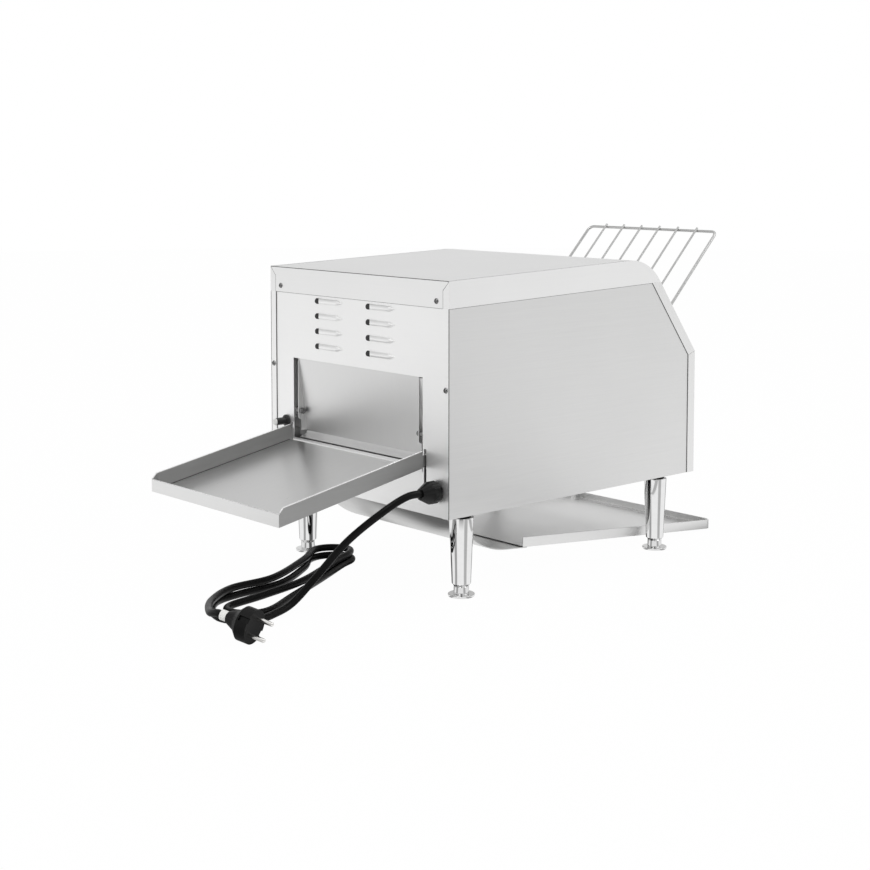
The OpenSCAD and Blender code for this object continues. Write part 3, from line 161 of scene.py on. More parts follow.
def studio_world():
    world = bpy.data.worlds.new("studio")
    world.use_nodes = True
    tree = world.node_tree
    tree.nodes.clear()
    direction = tree.nodes.new("ShaderNodeTexCoord")
    parts = tree.nodes.new("ShaderNodeSeparateXYZ")
    tree.links.new(direction.outputs["Generated"], parts.inputs[0])
    heights = tree.nodes.new("ShaderNodeValToRGB")
    for place, grey in room_greys:
        stop = heights.color_ramp.elements[0] if place == 0 else heights.color_ramp.elements.new(place)
        stop.position = place
        stop.color = (grey, grey, grey, 1)
    tree.links.new(parts.outputs["Z"], heights.inputs[0])
    bearing = maths(tree, "ARCTAN2", parts.outputs["Y"], parts.outputs["X"])
    room = maths(tree, "MULTIPLY", heights.outputs[0], flat_shade(tree, bearing, *dark_side))
    lit = tree.nodes.new("ShaderNodeBackground")
    tree.links.new(room, lit.inputs["Color"])
    white = tree.nodes.new("ShaderNodeBackground")
    white.inputs["Color"].default_value = (1, 1, 1, 1)
    path = tree.nodes.new("ShaderNodeLightPath")
    mix = tree.nodes.new("ShaderNodeMixShader")
    tree.links.new(path.outputs["Is Camera Ray"], mix.inputs[0])
    tree.links.new(lit.outputs[0], mix.inputs[1])
    tree.links.new(white.outputs[0], mix.inputs[2])
    out = tree.nodes.new("ShaderNodeOutputWorld")
    tree.links.new(mix.outputs[0], out.inputs["Surface"])
    return world


scene.world = studio_world()


def soft_lamp(name, place, target, size, power):
    lamp = bpy.data.lights.new(name, "AREA")
    lamp.shape = "DISK"
    lamp.size = size
    lamp.energy = power
    holder = bpy.data.objects.new(name, lamp)
    holder.location = place
    holder.rotation_euler = (Vector(target) - Vector(place)).to_track_quat("-Z", "Y").to_euler()
    scene.collection.objects.link(holder)


soft_lamp("lamp over the rear", (-0.6, 1.6, 2.2), (0, 0.1, 0.2), 1.4, 14)
soft_lamp("lamp over the front", (-1.4, -1.2, 1.8), (0, -0.1, 0.2), 1.2, 7)


# ---- Camera ----
# It stands behind the toaster's left rear corner, a little above its top, and looks slightly down.
# The lens is shifted so that the upright edges stay upright.

camera_place = (-1.52735, 1.40227, 0.51933)
camera_heading = (0.74351, -0.66381, -0.08091)
camera_lens = 66.89
camera_shift = -0.1712

camera = bpy.data.objects.new("camera", bpy.data.cameras.new("camera"))
camera.data.sensor_width = 36
camera.data.lens = camera_lens
camera.data.shift_y = camera_shift
camera.data.clip_end = 30
camera.location = camera_place
camera.rotation_euler = Vector(camera_heading).to_track_quat("-Z", "Y").to_euler()
scene.collection.objects.link(camera)
scene.camera = camera


# ---- Mains cord ----
# A round black three-core lead. It leaves the gland, falls to the table and lies there folded in a
# loose hank, one run over the other, up to its moulded plug.

cord_diameter = 0.0088
body_middle_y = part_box("left_side_panel")[1].y - 0.2195
cord_route = [
    (-149, 236, 130), (-148, 262, 130), (-137, 290, 114), (-108, 318, 80), (-83, 343, 39), (-73, 370, 11),
    (-79, 402, 5), (-84, 426, 5), (-73, 446, 5), (-49, 454, 5), (-18, 443, 5), (7, 418, 5),
    (16, 382, 5), (23, 316, 5), (62, 252, 5), (90, 222, 5), (96, 197, 5), (82, 176, 5),
    (58, 178, 5), (42, 208, 5), (8, 266, 5), (-33, 340, 5), (-62, 392, 5), (-60, 418, 5),
    (-39, 432, 5), (-18, 418, 5), (-18, 370, 9), (-12, 308, 14), (36, 222, 14), (53, 188, 14),
    (72, 172, 14), (94, 183, 14), (98, 208, 14), (66, 250, 14), (22, 328, 14), (16, 392, 14),
    (-16, 442, 15), (-72, 482, 22), (-101, 490, 28), (-118, 484, 24),
]
cord_points = [Vector((x / 1000, y / 1000 + body_middle_y, z / 1000)) for x, y, z in cord_route]


def principled(tree, **sockets):
    """A Principled shader with its constant sockets set, joined to the material's output."""
    shader = tree.nodes.new("ShaderNodeBsdfPrincipled")
    for name, value in sockets.items():
        shader.inputs[name.replace("_", " ")].default_value = value
    out = tree.nodes.new("ShaderNodeOutputMaterial")
    tree.links.new(shader.outputs[0], out.inputs["Surface"])
    return shader


def group_of(tree, group, **values):
    node = tree.nodes.new("ShaderNodeGroup")
    node.node_tree = group
    for name, value in values.items():
        node.inputs[name.replace("_", " ")].default_value = value
    return node


def new_group(name, inputs, outputs):
    group = bpy.data.node_groups.new(name, "ShaderNodeTree")
    for kind, label, value in inputs:
        socket = group.interface.new_socket(label, in_out="INPUT", socket_type="NodeSocket" + kind)
        socket.default_value = value
    for kind, label in outputs:
        group.interface.new_socket(label, in_out="OUTPUT", socket_type="NodeSocket" + kind)
    return group, group.nodes.new("NodeGroupInput"), group.nodes.new("NodeGroupOutput")


def noise(tree, vector, scale, detail=3.0, rough=0.5):
    node = tree.nodes.new("ShaderNodeTexNoise")
    node.inputs["Scale"].default_value = scale
    node.inputs["Detail"].default_value = detail
    node.inputs["Roughness"].default_value = rough
    tree.links.new(vector, node.inputs["Vector"])
    return node.outputs["Fac"]


def mapped(tree, value, low, high):
    """A 0 to 1 value moved to the range low to high; low and high are numbers or sockets."""
    node = tree.nodes.new("ShaderNodeMapRange")
    node.inputs["From Min"].default_value = 0.25
    node.inputs["From Max"].default_value = 0.75
    tree.links.new(value, node.inputs["Value"])
    for end, name in ((low, "To Min"), (high, "To Max")):
        if isinstance(end, (int, float)):
            node.inputs[name].default_value = end
        else:
            tree.links.new(end, node.inputs[name])
    return node.outputs[0]


def moulded_group():
    """Fine spark texture and faint handling marks of a moulded plastic or rubber skin."""
    group, given, result = new_group(
        "moulded skin",
        (("Color", "Color", (0.03, 0.03, 0.03, 1)), ("Float", "Roughness", 0.5),
         ("Float", "Spark size", 900.0), ("Float", "Spark depth", 0.15)),
        (("Color", "Color"), ("Float", "Roughness"), ("Vector", "Normal")),
    )
    place = group.nodes.new("ShaderNodeTexCoord").outputs["Object"]
    marks = noise(group, place, 60.0, 4.0, 0.6)
    spark = group.nodes.new("ShaderNodeTexNoise")
    group.links.new(place, spark.inputs["Vector"])
    group.links.new(given.outputs["Spark size"], spark.inputs["Scale"])
    tone = group.nodes.new("ShaderNodeMix")
    tone.data_type = "RGBA"
    tone.blend_type = "MULTIPLY"
    tone.inputs["Factor"].default_value = 1.0
    group.links.new(given.outputs["Color"], tone.inputs[6])
    group.links.new(mapped(group, marks, 0.88, 1.12), tone.inputs[7])
    group.links.new(tone.outputs[2], result.inputs["Color"])
    rough = maths(group, "MULTIPLY", given.outputs["Roughness"], mapped(group, marks, 0.85, 1.2))
    group.links.new(rough, result.inputs["Roughness"])
    bump = group.nodes.new("ShaderNodeBump")
    bump.inputs["Distance"].default_value = 0.0003
    group.links.new(given.outputs["Spark depth"], bump.inputs["Strength"])
    group.links.new(spark.outputs["Fac"], bump.inputs["Height"])
    group.links.new(bump.outputs[0], result.inputs["Normal"])
    return group


moulded_skin = moulded_group()


def moulded(name, colour, roughness=0.5, spark_size=900.0, spark_depth=0.15, **more):
    material, tree = new_tree(name)
    shader = principled(tree, **more)
    skin = group_of(tree, moulded_skin, Color=(*colour, 1), Roughness=roughness,
                    Spark_size=spark_size, Spark_depth=spark_depth)
    tree.links.new(skin.outputs["Color"], shader.inputs["Base Color"])
    tree.links.new(skin.outputs["Roughness"], shader.inputs["Roughness"])
    tree.links.new(skin.outputs["Normal"], shader.inputs["Normal"])
    return material


black_gloss = 0.12
cord_sheath = moulded("black cord sheath", (0.004, 0.004, 0.004), 0.36, 500.0, 0.05,
                      Specular_IOR_Level=black_gloss)

cord_curve = bpy.data.curves.new("mains_cord", "CURVE")
cord_curve.dimensions = "3D"
cord_curve.bevel_depth = cord_diameter / 2
cord_curve.bevel_resolution = 5
cord_curve.resolution_u = 10
cord_curve.use_fill_caps = True
line = cord_curve.splines.new("BEZIER")
line.bezier_points.add(len(cord_points) - 1)
for index, point in enumerate(cord_points):
    before = cord_points[max(index - 1, 0)]
    after = cord_points[min(index + 1, len(cord_points) - 1)]
    knot = line.bezier_points[index]
    knot.co = point
    knot.handle_left_type = knot.handle_right_type = "FREE"
    knot.handle_left = point - (after - before) / 6
    knot.handle_right = point + (after - before) / 6
mains_cord = bpy.data.objects.new("mains_cord", cord_curve)
scene.collection.objects.link(mains_cord)
cord_curve.materials.append(cord_sheath)


# ---- Plug, tag and gland ----
# A round two-pin plug moulded on the cord in soft black plastic, with a stepped neck; a folded blank
# tag beside it; and the nylon gland whose tapered nose holds the cord at the rear panel.

nodes = frame["nodes"]
body_of = {node: body for body, held in frame["record"]["behaviour"]["bodies"].items() for node in held}
merge_distance = 0.000002


def dress(node, material, edge=0.0003, rounds=2, smooth=40, second=None, chosen=None,
          edge_finish=None, flatten=0.6):
    """A merged copy of a CAD solid with its edges rounded, in place of the solid. Faces for which
    chosen is true take the second material, and the rounded edges take edge_finish. Faces that
    turn by less than flatten, in degrees, are made one; with 0 they stay as they are."""
    mesh = nodes[node].data.copy()
    mesh.materials.clear()
    for finish in (material, second or material, edge_finish or material):
        mesh.materials.append(finish)
    shape = bmesh.new()
    shape.from_mesh(mesh)
    bmesh.ops.remove_doubles(shape, verts=shape.verts, dist=merge_distance)
    if flatten:
        bmesh.ops.dissolve_limit(shape, angle_limit=math.radians(flatten),
                                 verts=shape.verts, edges=shape.edges)
    for face in shape.faces:
        face.material_index = 1 if chosen and chosen(face) else 0
        face.smooth = True
    shape.to_mesh(mesh)
    shape.free()
    piece = bpy.data.objects.new(node + "_finished", mesh)
    scene.collection.objects.link(piece)
    if edge:
        bevel = piece.modifiers.new("rounded edges", "BEVEL")
        bevel.width = edge
        bevel.segments = rounds
        bevel.angle_limit = math.radians(smooth)
        bevel.material = 2 if edge_finish else -1
        level = piece.modifiers.new("level faces", "WEIGHTED_NORMAL")
        level.weight = 100
    else:
        mesh.set_sharp_from_angle(angle=math.radians(smooth))
    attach(piece, body_of[node])
    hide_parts(node)
    return piece


plug_skin = moulded("plug moulding", (0.006, 0.006, 0.006), 0.4, 700.0, 0.1,
                    Specular_IOR_Level=black_gloss)
gland_skin = moulded("gland nylon", (0.004, 0.004, 0.004), 0.25, 600.0, 0.05, Specular_IOR_Level=0.25)
tag_paper = moulded("blank tag", (0.86, 0.86, 0.84), 0.7, 1500.0, 0.05)


def plated_group():
    """Bright plating: a little waviness and faint wiping marks."""
    group, given, result = new_group(
        "bright plating",
        (("Color", "Color", (0.8, 0.8, 0.8, 1)), ("Float", "Roughness", 0.08), ("Float", "Waviness", 0.1)),
        (("Color", "Color"), ("Float", "Roughness"), ("Vector", "Normal")),
    )
    place = group.nodes.new("ShaderNodeTexCoord").outputs["Object"]
    wipes = noise(group, place, 90.0, 5.0, 0.6)
    waves = noise(group, place, 35.0, 1.0)
    tone = group.nodes.new("ShaderNodeMix")
    tone.data_type = "RGBA"
    tone.blend_type = "MULTIPLY"
    tone.inputs["Factor"].default_value = 1.0
    group.links.new(given.outputs["Color"], tone.inputs[6])
    group.links.new(mapped(group, wipes, 0.95, 1.03), tone.inputs[7])
    group.links.new(tone.outputs[2], result.inputs["Color"])
    rough = maths(group, "MULTIPLY", given.outputs["Roughness"], mapped(group, wipes, 0.7, 1.5))
    group.links.new(rough, result.inputs["Roughness"])
    bump = group.nodes.new("ShaderNodeBump")
    bump.inputs["Distance"].default_value = 0.0004
    group.links.new(given.outputs["Waviness"], bump.inputs["Strength"])
    group.links.new(waves, bump.inputs["Height"])
    group.links.new(bump.outputs[0], result.inputs["Normal"])
    return group


bright_plating = plated_group()


def plated(name, colour, roughness=0.08, waviness=0.1):
    material, tree = new_tree(name)
    shader = principled(tree, Metallic=1.0)
    skin = group_of(tree, bright_plating, Color=(*colour, 1), Roughness=roughness, Waviness=waviness)
    tree.links.new(skin.outputs["Color"], shader.inputs["Base Color"])
    tree.links.new(skin.outputs["Roughness"], shader.inputs["Roughness"])
    tree.links.new(skin.outputs["Normal"], shader.inputs["Normal"])
    return material


pin_plating = plated("plug pin plating", (0.82, 0.81, 0.79), 0.14)

plug = dress("plug_body", plug_skin, 0.0009, 3)
pins = dress("plug_pins", pin_plating, 0.0003)
tag = dress("cord_tag", tag_paper, 0.0001)
dress("cable_gland", gland_skin, 0.0004)

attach(mains_cord, "housing")
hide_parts("cord")


# ---- Legs and feet ----
# Four tapered tubes of bright plated steel, each under a short black collar, with a screwed foot disc.
# A hexagon nut inside the body holds each leg's stud.

leg_plating = plated("leg plating", (0.82, 0.82, 0.82), 0.05, 0.04)
foot_plating = plated("foot plating", (0.74, 0.74, 0.74), 0.08)
collar_skin = moulded("collar moulding", (0.008, 0.008, 0.008), 0.4, Specular_IOR_Level=black_gloss)
leg_rows = [(x, y / 1000 + body_middle_y) for x in (-0.149, 0.149) for y in (179, -169)]
# Radius and height of each turn of a leg's and a collar's outline, from the bottom
leg_outline = [
    (0.0, 0.0118), (0.0088, 0.0118), (0.0092, 0.0126), (0.0104, 0.0146), (0.0112, 0.0152),
    (0.0115, 0.0165), (0.0131, 0.054), (0.0148, 0.0934), (0.0147, 0.0946), (0.0141, 0.095), (0.0, 0.095),
]
collar_outline = [(0.0, 0.095), (0.0115, 0.095), (0.0118, 0.0955), (0.0118, 0.0998), (0.0, 0.0998)]
turning_sides = 64


def turned(name, outline, places, material):
    """One mesh of the outline turned round an upright axis at each place."""
    shape = bmesh.new()
    for x, y in places:
        rings = []
        for radius, height in outline:
            steps = 1 if radius == 0 else turning_sides
            rings.append([
                shape.verts.new((x + radius * math.cos(step * math.tau / turning_sides),
                                 y + radius * math.sin(step * math.tau / turning_sides), height))
                for step in range(steps)
            ])
        for low, high in zip(rings, rings[1:]):
            for step in range(turning_sides):
                following = (step + 1) % turning_sides
                corners = [low[step % len(low)], low[following % len(low)],
                           high[following % len(high)], high[step % len(high)]]
                corners = [corner for place, corner in enumerate(corners) if corner not in corners[:place]]
                if len(corners) > 2:
                    shape.faces.new(corners)
    bmesh.ops.recalc_face_normals(shape, faces=shape.faces)
    mesh = bpy.data.meshes.new(name)
    shape.to_mesh(mesh)
    shape.free()
    for face in mesh.polygons:
        face.use_smooth = True
    mesh.set_sharp_from_angle(angle=math.radians(35))
    mesh.materials.append(material)
    piece = bpy.data.objects.new(name, mesh)
    scene.collection.objects.link(piece)
    return piece


def fitted(piece, *replaced):
    """The piece rides with the nodes it stands for, which are hidden."""
    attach(piece, body_of[replaced[0]])
    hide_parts(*replaced)
    return piece


fitted(turned("leg_tubes", leg_outline, leg_rows, leg_plating), "legs")
fitted(turned("leg_collar_rings", collar_outline, leg_rows, collar_skin), "leg_collars")
for corner in ("front_left", "front_right", "rear_left", "rear_right"):
    dress("foot_" + corner, foot_plating, 0.0006, 3)


# ---- Folded casing ----
# Stainless sheet, 1 mm thick, brushed along its length and folded: a base plate, two sides, a rear
# panel with pressed louvres, a front panel, and a cover with a rounded crown screwed over them.


def brushed_group():
    """The grain of brushed sheet: long fine scratches along one direction over a cloudy ground."""
    group, given, result = new_group(
        "brushed grain",
        (("Color", "Color", (0.8, 0.8, 0.8, 1)), ("Float", "Tone spread", 0.05),
         ("Float", "Roughness", 0.3), ("Float", "Roughness spread", 0.2),
         ("Vector", "Grain", (0.0, 1.0, 0.0)), ("Vector", "End grain", (1.0, 0.0, 0.0)),
         ("Float", "Scratch depth", 0.1)),
        (("Color", "Color"), ("Float", "Roughness"), ("Vector", "Normal")),
    )
    where = group.nodes.new("ShaderNodeTexCoord")
    place = where.outputs["Object"]
    facing = group.nodes.new("ShaderNodeVectorMath")
    facing.operation = "DOT_PRODUCT"
    group.links.new(where.outputs["Normal"], facing.inputs[0])
    group.links.new(given.outputs["Grain"], facing.inputs[1])
    on_end = maths(group, "GREATER_THAN", maths(group, "ABSOLUTE", facing.outputs["Value"]), 0.7)
    grain = group.nodes.new("ShaderNodeMix")
    grain.data_type = "VECTOR"
    group.links.new(on_end, grain.inputs["Factor"])
    group.links.new(given.outputs["Grain"], grain.inputs[4])
    group.links.new(given.outputs["End grain"], grain.inputs[5])
    stretch = group.nodes.new("ShaderNodeVectorMath")
    stretch.operation = "MULTIPLY_ADD"
    stretch.inputs[1].default_value = (-0.98, -0.98, -0.98)
    stretch.inputs[2].default_value = (1.0, 1.0, 1.0)
    group.links.new(grain.outputs[1], stretch.inputs[0])
    grain_place = group.nodes.new("ShaderNodeVectorMath")
    grain_place.operation = "MULTIPLY"
    group.links.new(place, grain_place.inputs[0])
    group.links.new(stretch.outputs[0], grain_place.inputs[1])
    fine = noise(group, grain_place.outputs[0], 900.0, 3.0, 0.6)
    broad = noise(group, grain_place.outputs[0], 190.0, 3.0, 0.55)
    cloud = noise(group, place, 7.0, 2.0)
    grain = maths(group, "ADD", maths(group, "MULTIPLY", fine, 0.6), maths(group, "MULTIPLY", broad, 0.4))
    low = maths(group, "SUBTRACT", 1.0, given.outputs["Tone spread"])
    high = maths(group, "ADD", 1.0, given.outputs["Tone spread"])
    tone = group.nodes.new("ShaderNodeMix")
    tone.data_type = "RGBA"
    tone.blend_type = "MULTIPLY"
    tone.inputs["Factor"].default_value = 1.0
    group.links.new(given.outputs["Color"], tone.inputs[6])
    shade = maths(group, "MULTIPLY", mapped(group, grain, low, high), mapped(group, cloud, 0.985, 1.015))
    group.links.new(shade, tone.inputs[7])
    group.links.new(tone.outputs[2], result.inputs["Color"])
    low = maths(group, "SUBTRACT", 1.0, given.outputs["Roughness spread"])
    high = maths(group, "ADD", 1.0, given.outputs["Roughness spread"])
    rough = maths(group, "MULTIPLY", given.outputs["Roughness"], mapped(group, grain, low, high))
    group.links.new(rough, result.inputs["Roughness"])
    bump = group.nodes.new("ShaderNodeBump")
    bump.inputs["Distance"].default_value = 0.0002
    group.links.new(given.outputs["Scratch depth"], bump.inputs["Strength"])
    group.links.new(grain, bump.inputs["Height"])
    group.links.new(bump.outputs[0], result.inputs["Normal"])
    return group


brushed_grain = brushed_group()
along_x = (1.0, 0.0, 0.0)
along_y = (0.0, 1.0, 0.0)
along_z = (0.0, 0.0, 1.0)


def brushed(name, colour, grain, end_grain, roughness=0.3, spread=0.04, rough_spread=0.2, depth=0.08):
    material, tree = new_tree(name)
    shader = principled(tree, Metallic=1.0)
    skin = group_of(tree, brushed_grain, Color=(*colour, 1), Tone_spread=spread, Roughness=roughness,
                    Roughness_spread=rough_spread, Grain=grain, End_grain=end_grain, Scratch_depth=depth)
    tree.links.new(skin.outputs["Color"], shader.inputs["Base Color"])
    tree.links.new(skin.outputs["Roughness"], shader.inputs["Roughness"])
    tree.links.new(skin.outputs["Normal"], shader.inputs["Normal"])
    return material


# The cover, side, rear and front sheets are one stainless sheet in lit and shaded copies. The rear panel and
# rear-facing faces are painted lightest, the cover lighter, the front darker and the sides darkest, as light
# falls on them.
cover_sheet = brushed("cover sheet", (0.87, 0.87, 0.868), along_y, along_x, 0.34, 0.015, 0.15, 0.04)
side_sheet_painted_darker = brushed("side sheet painted darker", (0.73, 0.73, 0.727), along_y, along_x, 0.36, 0.04)
rear_sheet_painted_lighter = brushed("rear sheet painted lighter", (0.94, 0.94, 0.937), along_x, along_x, 0.44, 0.012, 0.1, 0.04)
# Painted shade: a dark copy of the sheet laid on the cover's rounded fold edges, where the folds show dark.
folded_edge_painted_shade = brushed("folded edge painted shade", (0.3, 0.3, 0.3), along_x, along_x, 0.4, 0.03)
front_sheet = brushed("front sheet", (0.8, 0.8, 0.797), along_x, along_z, 0.32, 0.03)
inner_sheet = brushed("inner sheet", (0.62, 0.62, 0.615), along_y, along_x, 0.35, 0.05)
zinc = plated("zinc plating", (0.62, 0.62, 0.61), 0.3)

dress("base_plate", inner_sheet)
for part in ("left_side_panel", "right_side_panel"):
    # The side panels take the darker copy, and their rear-facing faces take the rear sheet's painted light.
    dress(part, side_sheet_painted_darker, second=rear_sheet_painted_lighter, chosen=lambda face: face.normal.y > 0.7)
dress("rear_panel", rear_sheet_painted_lighter, 0.0002)
dress("top_cover", cover_sheet, 0.0007, edge_finish=folded_edge_painted_shade)
dress("front_panel", front_sheet, 0.0004)
dress("leg_nuts", zinc, 0.0003)


# ---- Seams of the casing ----
# Painted shade: thin black wires laid where one folded sheet ends on another stand in for the shade in the
# narrow gaps.
# They run under the cover's flanges, beside the side panels' rear returns and along the front panel's side
# returns. The folds of the cover and the corners of the side panels carry a fine dark wire of painted shade
# along the fold.

painted_shade_black = moulded("painted shade black", (0.03, 0.03, 0.03), 0.8, 400.0, 0.02)
seam_radius = 0.0003
wall_face = 171.2
rear_face = 218.7
seam_lines = [[(-161, rear_face, 343.8), (161, rear_face, 343.8)]]
for side in (-1, 1):
    seam_lines += [
        [(side * wall_face, 219.5, 343.8), (side * wall_face, -133.2, 355.3),
         (side * wall_face, -206.5, 256.6), (side * wall_face, -206.5, 100.5)],
        [(side * 160.8, rear_face, 100.5), (side * 160.8, rear_face, 343.8)],
        [(side * 161.2, 219.3, 344.2), (side * 161.2, 219.3, 364.8), (side * 171.2, 219.3, 375)],
        [(side * wall_face, 219.4, 100.5), (side * wall_face, 219.4, 343.8)],
    ]


def socket_of(tree, name):
    return next(item.identifier for item in tree.interface.items_tree
                if item.name == name and item.in_out == "INPUT")


def new_geometry_tree(name, inputs):
    tree = bpy.data.node_groups.new(name, "GeometryNodeTree")
    tree.interface.new_socket("Geometry", in_out="INPUT", socket_type="NodeSocketGeometry")
    for kind, label in inputs:
        tree.interface.new_socket(label, in_out="INPUT", socket_type="NodeSocket" + kind)
    tree.interface.new_socket("Geometry", in_out="OUTPUT", socket_type="NodeSocketGeometry")
    return tree, tree.nodes.new("NodeGroupInput"), tree.nodes.new("NodeGroupOutput")


def chained(tree, given, *kinds):
    """Nodes set one after another, each taking the geometry of the one before."""
    geometry = given.outputs["Geometry"]
    made = []
    for kind in kinds:
        node = tree.nodes.new(kind)
        tree.links.new(geometry, node.inputs[0])
        geometry = node.outputs[0]
        made.append(node)
    return made


def bent_wire_tree():
    """A round wire along each line of edges."""
    tree, given, result = new_geometry_tree(
        "bent wire", (("Float", "Wire radius"), ("Int", "Sides"), ("Material", "Finish")))
    _, wire, _, finish = chained(
        tree, given, "GeometryNodeMeshToCurve", "GeometryNodeCurveToMesh",
        "GeometryNodeRealizeInstances", "GeometryNodeSetMaterial")
    ring = tree.nodes.new("GeometryNodeCurvePrimitiveCircle")
    tree.links.new(given.outputs["Sides"], ring.inputs["Resolution"])
    tree.links.new(given.outputs["Wire radius"], ring.inputs["Radius"])
    tree.links.new(ring.outputs[0], wire.inputs["Profile Curve"])
    wire.inputs["Fill Caps"].default_value = True
    tree.links.new(given.outputs["Finish"], finish.inputs["Material"])
    tree.links.new(finish.outputs[0], result.inputs[0])
    return tree


bent_wire = bent_wire_tree()


def with_nodes(holder, tree, **values):
    """Adds the tree to the holder's mesh, with its named inputs set."""
    modifier = holder.modifiers.new(tree.name, "NODES")
    modifier.node_group = tree
    for name, value in values.items():
        modifier[socket_of(tree, name.replace("_", " "))] = value


def made_plain(holder, material, smooth=50):
    """The holder with its node trees turned into a plain mesh."""
    bpy.context.view_layer.update()
    ready = holder.evaluated_get(bpy.context.evaluated_depsgraph_get())
    mesh = bpy.data.meshes.new_from_object(ready)
    holder.modifiers.clear()
    holder.data = mesh
    mesh.materials.clear()
    mesh.materials.append(material)
    for face in mesh.polygons:
        face.use_smooth = True
        face.material_index = 0
    mesh.set_sharp_from_angle(angle=math.radians(smooth))
    return holder


def line_mesh(name, lines):
    """Loose edges along each line of points, given in millimetres from the body's middle."""
    points = [(x / 1000, y / 1000 + body_middle_y, z / 1000) for line in lines for x, y, z in line]
    edges = []
    first = 0
    for line in lines:
        edges += [(first + step, first + step + 1) for step in range(len(line) - 1)]
        first += len(line)
    mesh = bpy.data.meshes.new(name)
    mesh.from_pydata(points, edges, [])
    holder = bpy.data.objects.new(name, mesh)
    scene.collection.objects.link(holder)
    return holder


seams = line_mesh("casing_seams", seam_lines)
with_nodes(seams, bent_wire, Wire_radius=seam_radius, Sides=6, Finish=painted_shade_black)
made_plain(seams, painted_shade_black)
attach(seams, "housing")

# Dark wires of painted shade along the cover's folds and the side panels' corners.
fold_shade = moulded("shaded fold", (0.1, 0.1, 0.1), 0.6, 400.0, 0.02)
fold_radius = 0.0005
crown_start = (-89, 386 - 0.3)
rear_fold = (219.2, 375.7)
rear_fold_half = 171.4
side_fold = 171.45
corner_fold = (171.3, 219.25)
corner_heights = (100.6, 343.6)
fold_lines = [[(-rear_fold_half, *rear_fold), (rear_fold_half, *rear_fold)]]
for side in (-1, 1):
    fold_lines += [
        [(side * side_fold, *rear_fold), (side * side_fold, *crown_start)],
        [(side * corner_fold[0], corner_fold[1], height) for height in corner_heights],
    ]
folds = line_mesh("casing_folds", fold_lines)
with_nodes(folds, bent_wire, Wire_radius=fold_radius, Sides=8, Finish=fold_shade)
made_plain(folds, fold_shade)
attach(folds, "housing")


# ---- Louvre mouths ----
# Each pressed louvre is open at one end. A thin black leaf laid over that end of its round hood is painted
# shade that shows the dark opening, which itself faces sideways and is cut square.

louvre_columns = (75, -25)
louvre_top = 337
louvre_step = 19
louvre_count = 4
louvre_axis = 218.5
mouth_radii = (3.2, 3.66)
mouth_reach = 7.0
mouth_past = 0.2
mouth_narrowing = 0.9
mouth_fullness = 0.6
mouth_spread = math.radians(80)
mouth_steps = 12


def rows_of_pieces_tree():
    """The same piece at every point, turned by the point's own angles."""
    tree, given, result = new_geometry_tree(
        "rows of pieces", (("Object", "Piece"), ("Float", "Size"), ("Material", "Finish")))
    _, rows, _, finish = chained(
        tree, given, "GeometryNodeMeshToPoints", "GeometryNodeInstanceOnPoints",
        "GeometryNodeRealizeInstances", "GeometryNodeSetMaterial")
    piece = tree.nodes.new("GeometryNodeObjectInfo")
    tree.links.new(given.outputs["Piece"], piece.inputs["Object"])
    tree.links.new(piece.outputs["Geometry"], rows.inputs["Instance"])
    turn = tree.nodes.new("GeometryNodeInputNamedAttribute")
    turn.data_type = "FLOAT_VECTOR"
    turn.inputs["Name"].default_value = "turn"
    tree.links.new(turn.outputs["Attribute"], rows.inputs["Rotation"])
    tree.links.new(given.outputs["Size"], rows.inputs["Scale"])
    tree.links.new(given.outputs["Finish"], finish.inputs["Material"])
    tree.links.new(finish.outputs[0], result.inputs[0])
    return tree


rows_of_pieces = rows_of_pieces_tree()


def point_rows(name, places, turns=None):
    """Loose points in millimetres from the body's middle, each with its turn in radians."""
    mesh = bpy.data.meshes.new(name)
    mesh.from_pydata([(x / 1000, y / 1000 + body_middle_y, z / 1000) for x, y, z in places], [], [])
    turn = mesh.attributes.new("turn", "FLOAT_VECTOR", "POINT")
    for place, angles in enumerate(turns or [(0, 0, 0)] * len(places)):
        turn.data[place].vector = angles
    holder = bpy.data.objects.new(name, mesh)
    scene.collection.objects.link(holder)
    return holder


def repeated(name, pattern, places, material, turns=None, smooth=50):
    """The pattern mesh at every place, as one plain mesh."""
    sample = bpy.data.objects.new(name + "_sample", pattern)
    scene.collection.objects.link(sample)
    holder = point_rows(name, places, turns)
    with_nodes(holder, rows_of_pieces, Piece=sample, Size=1.0, Finish=material)
    made_plain(holder, material, smooth)
    bpy.data.objects.remove(sample)
    return holder


def mouth_mesh():
    """A leaf round the end of a hood, widest on the hood's back."""
    shape = bmesh.new()
    rows = []
    for step in range(mouth_steps + 1):
        angle = mouth_spread * (2 * step / mouth_steps - 1)
        reach = mouth_reach * math.cos(angle * mouth_narrowing) ** mouth_fullness
        inner, outer = mouth_radii
        corners = [(mouth_past, outer), (-reach, outer), (-reach, inner), (mouth_past, inner)]
        rows.append([
            shape.verts.new((x / 1000, radius * math.cos(angle) / 1000, radius * math.sin(angle) / 1000))
            for x, radius in corners
        ])
    for low, high in zip(rows, rows[1:]):
        for corner in range(4):
            following = (corner + 1) % 4
            shape.faces.new([low[corner], low[following], high[following], high[corner]])
    shape.faces.new(rows[0])
    shape.faces.new(rows[-1])
    bmesh.ops.recalc_face_normals(shape, faces=shape.faces)
    mesh = bpy.data.meshes.new("louvre_mouth")
    shape.to_mesh(mesh)
    shape.free()
    return mesh


# Black leaves of painted shade over the louvres' open ends.
mouths = repeated(
    "louvre_mouths", mouth_mesh(),
    [(x, louvre_axis, louvre_top - row * louvre_step) for x in louvre_columns for row in range(louvre_count)],
    painted_shade_black)
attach(mouths, "housing")


# ---- Casing screws ----
# Pan-head screws in dark zinc with a pressed cross: two through the cover's rear flange and two
# through the side panels' rear returns.

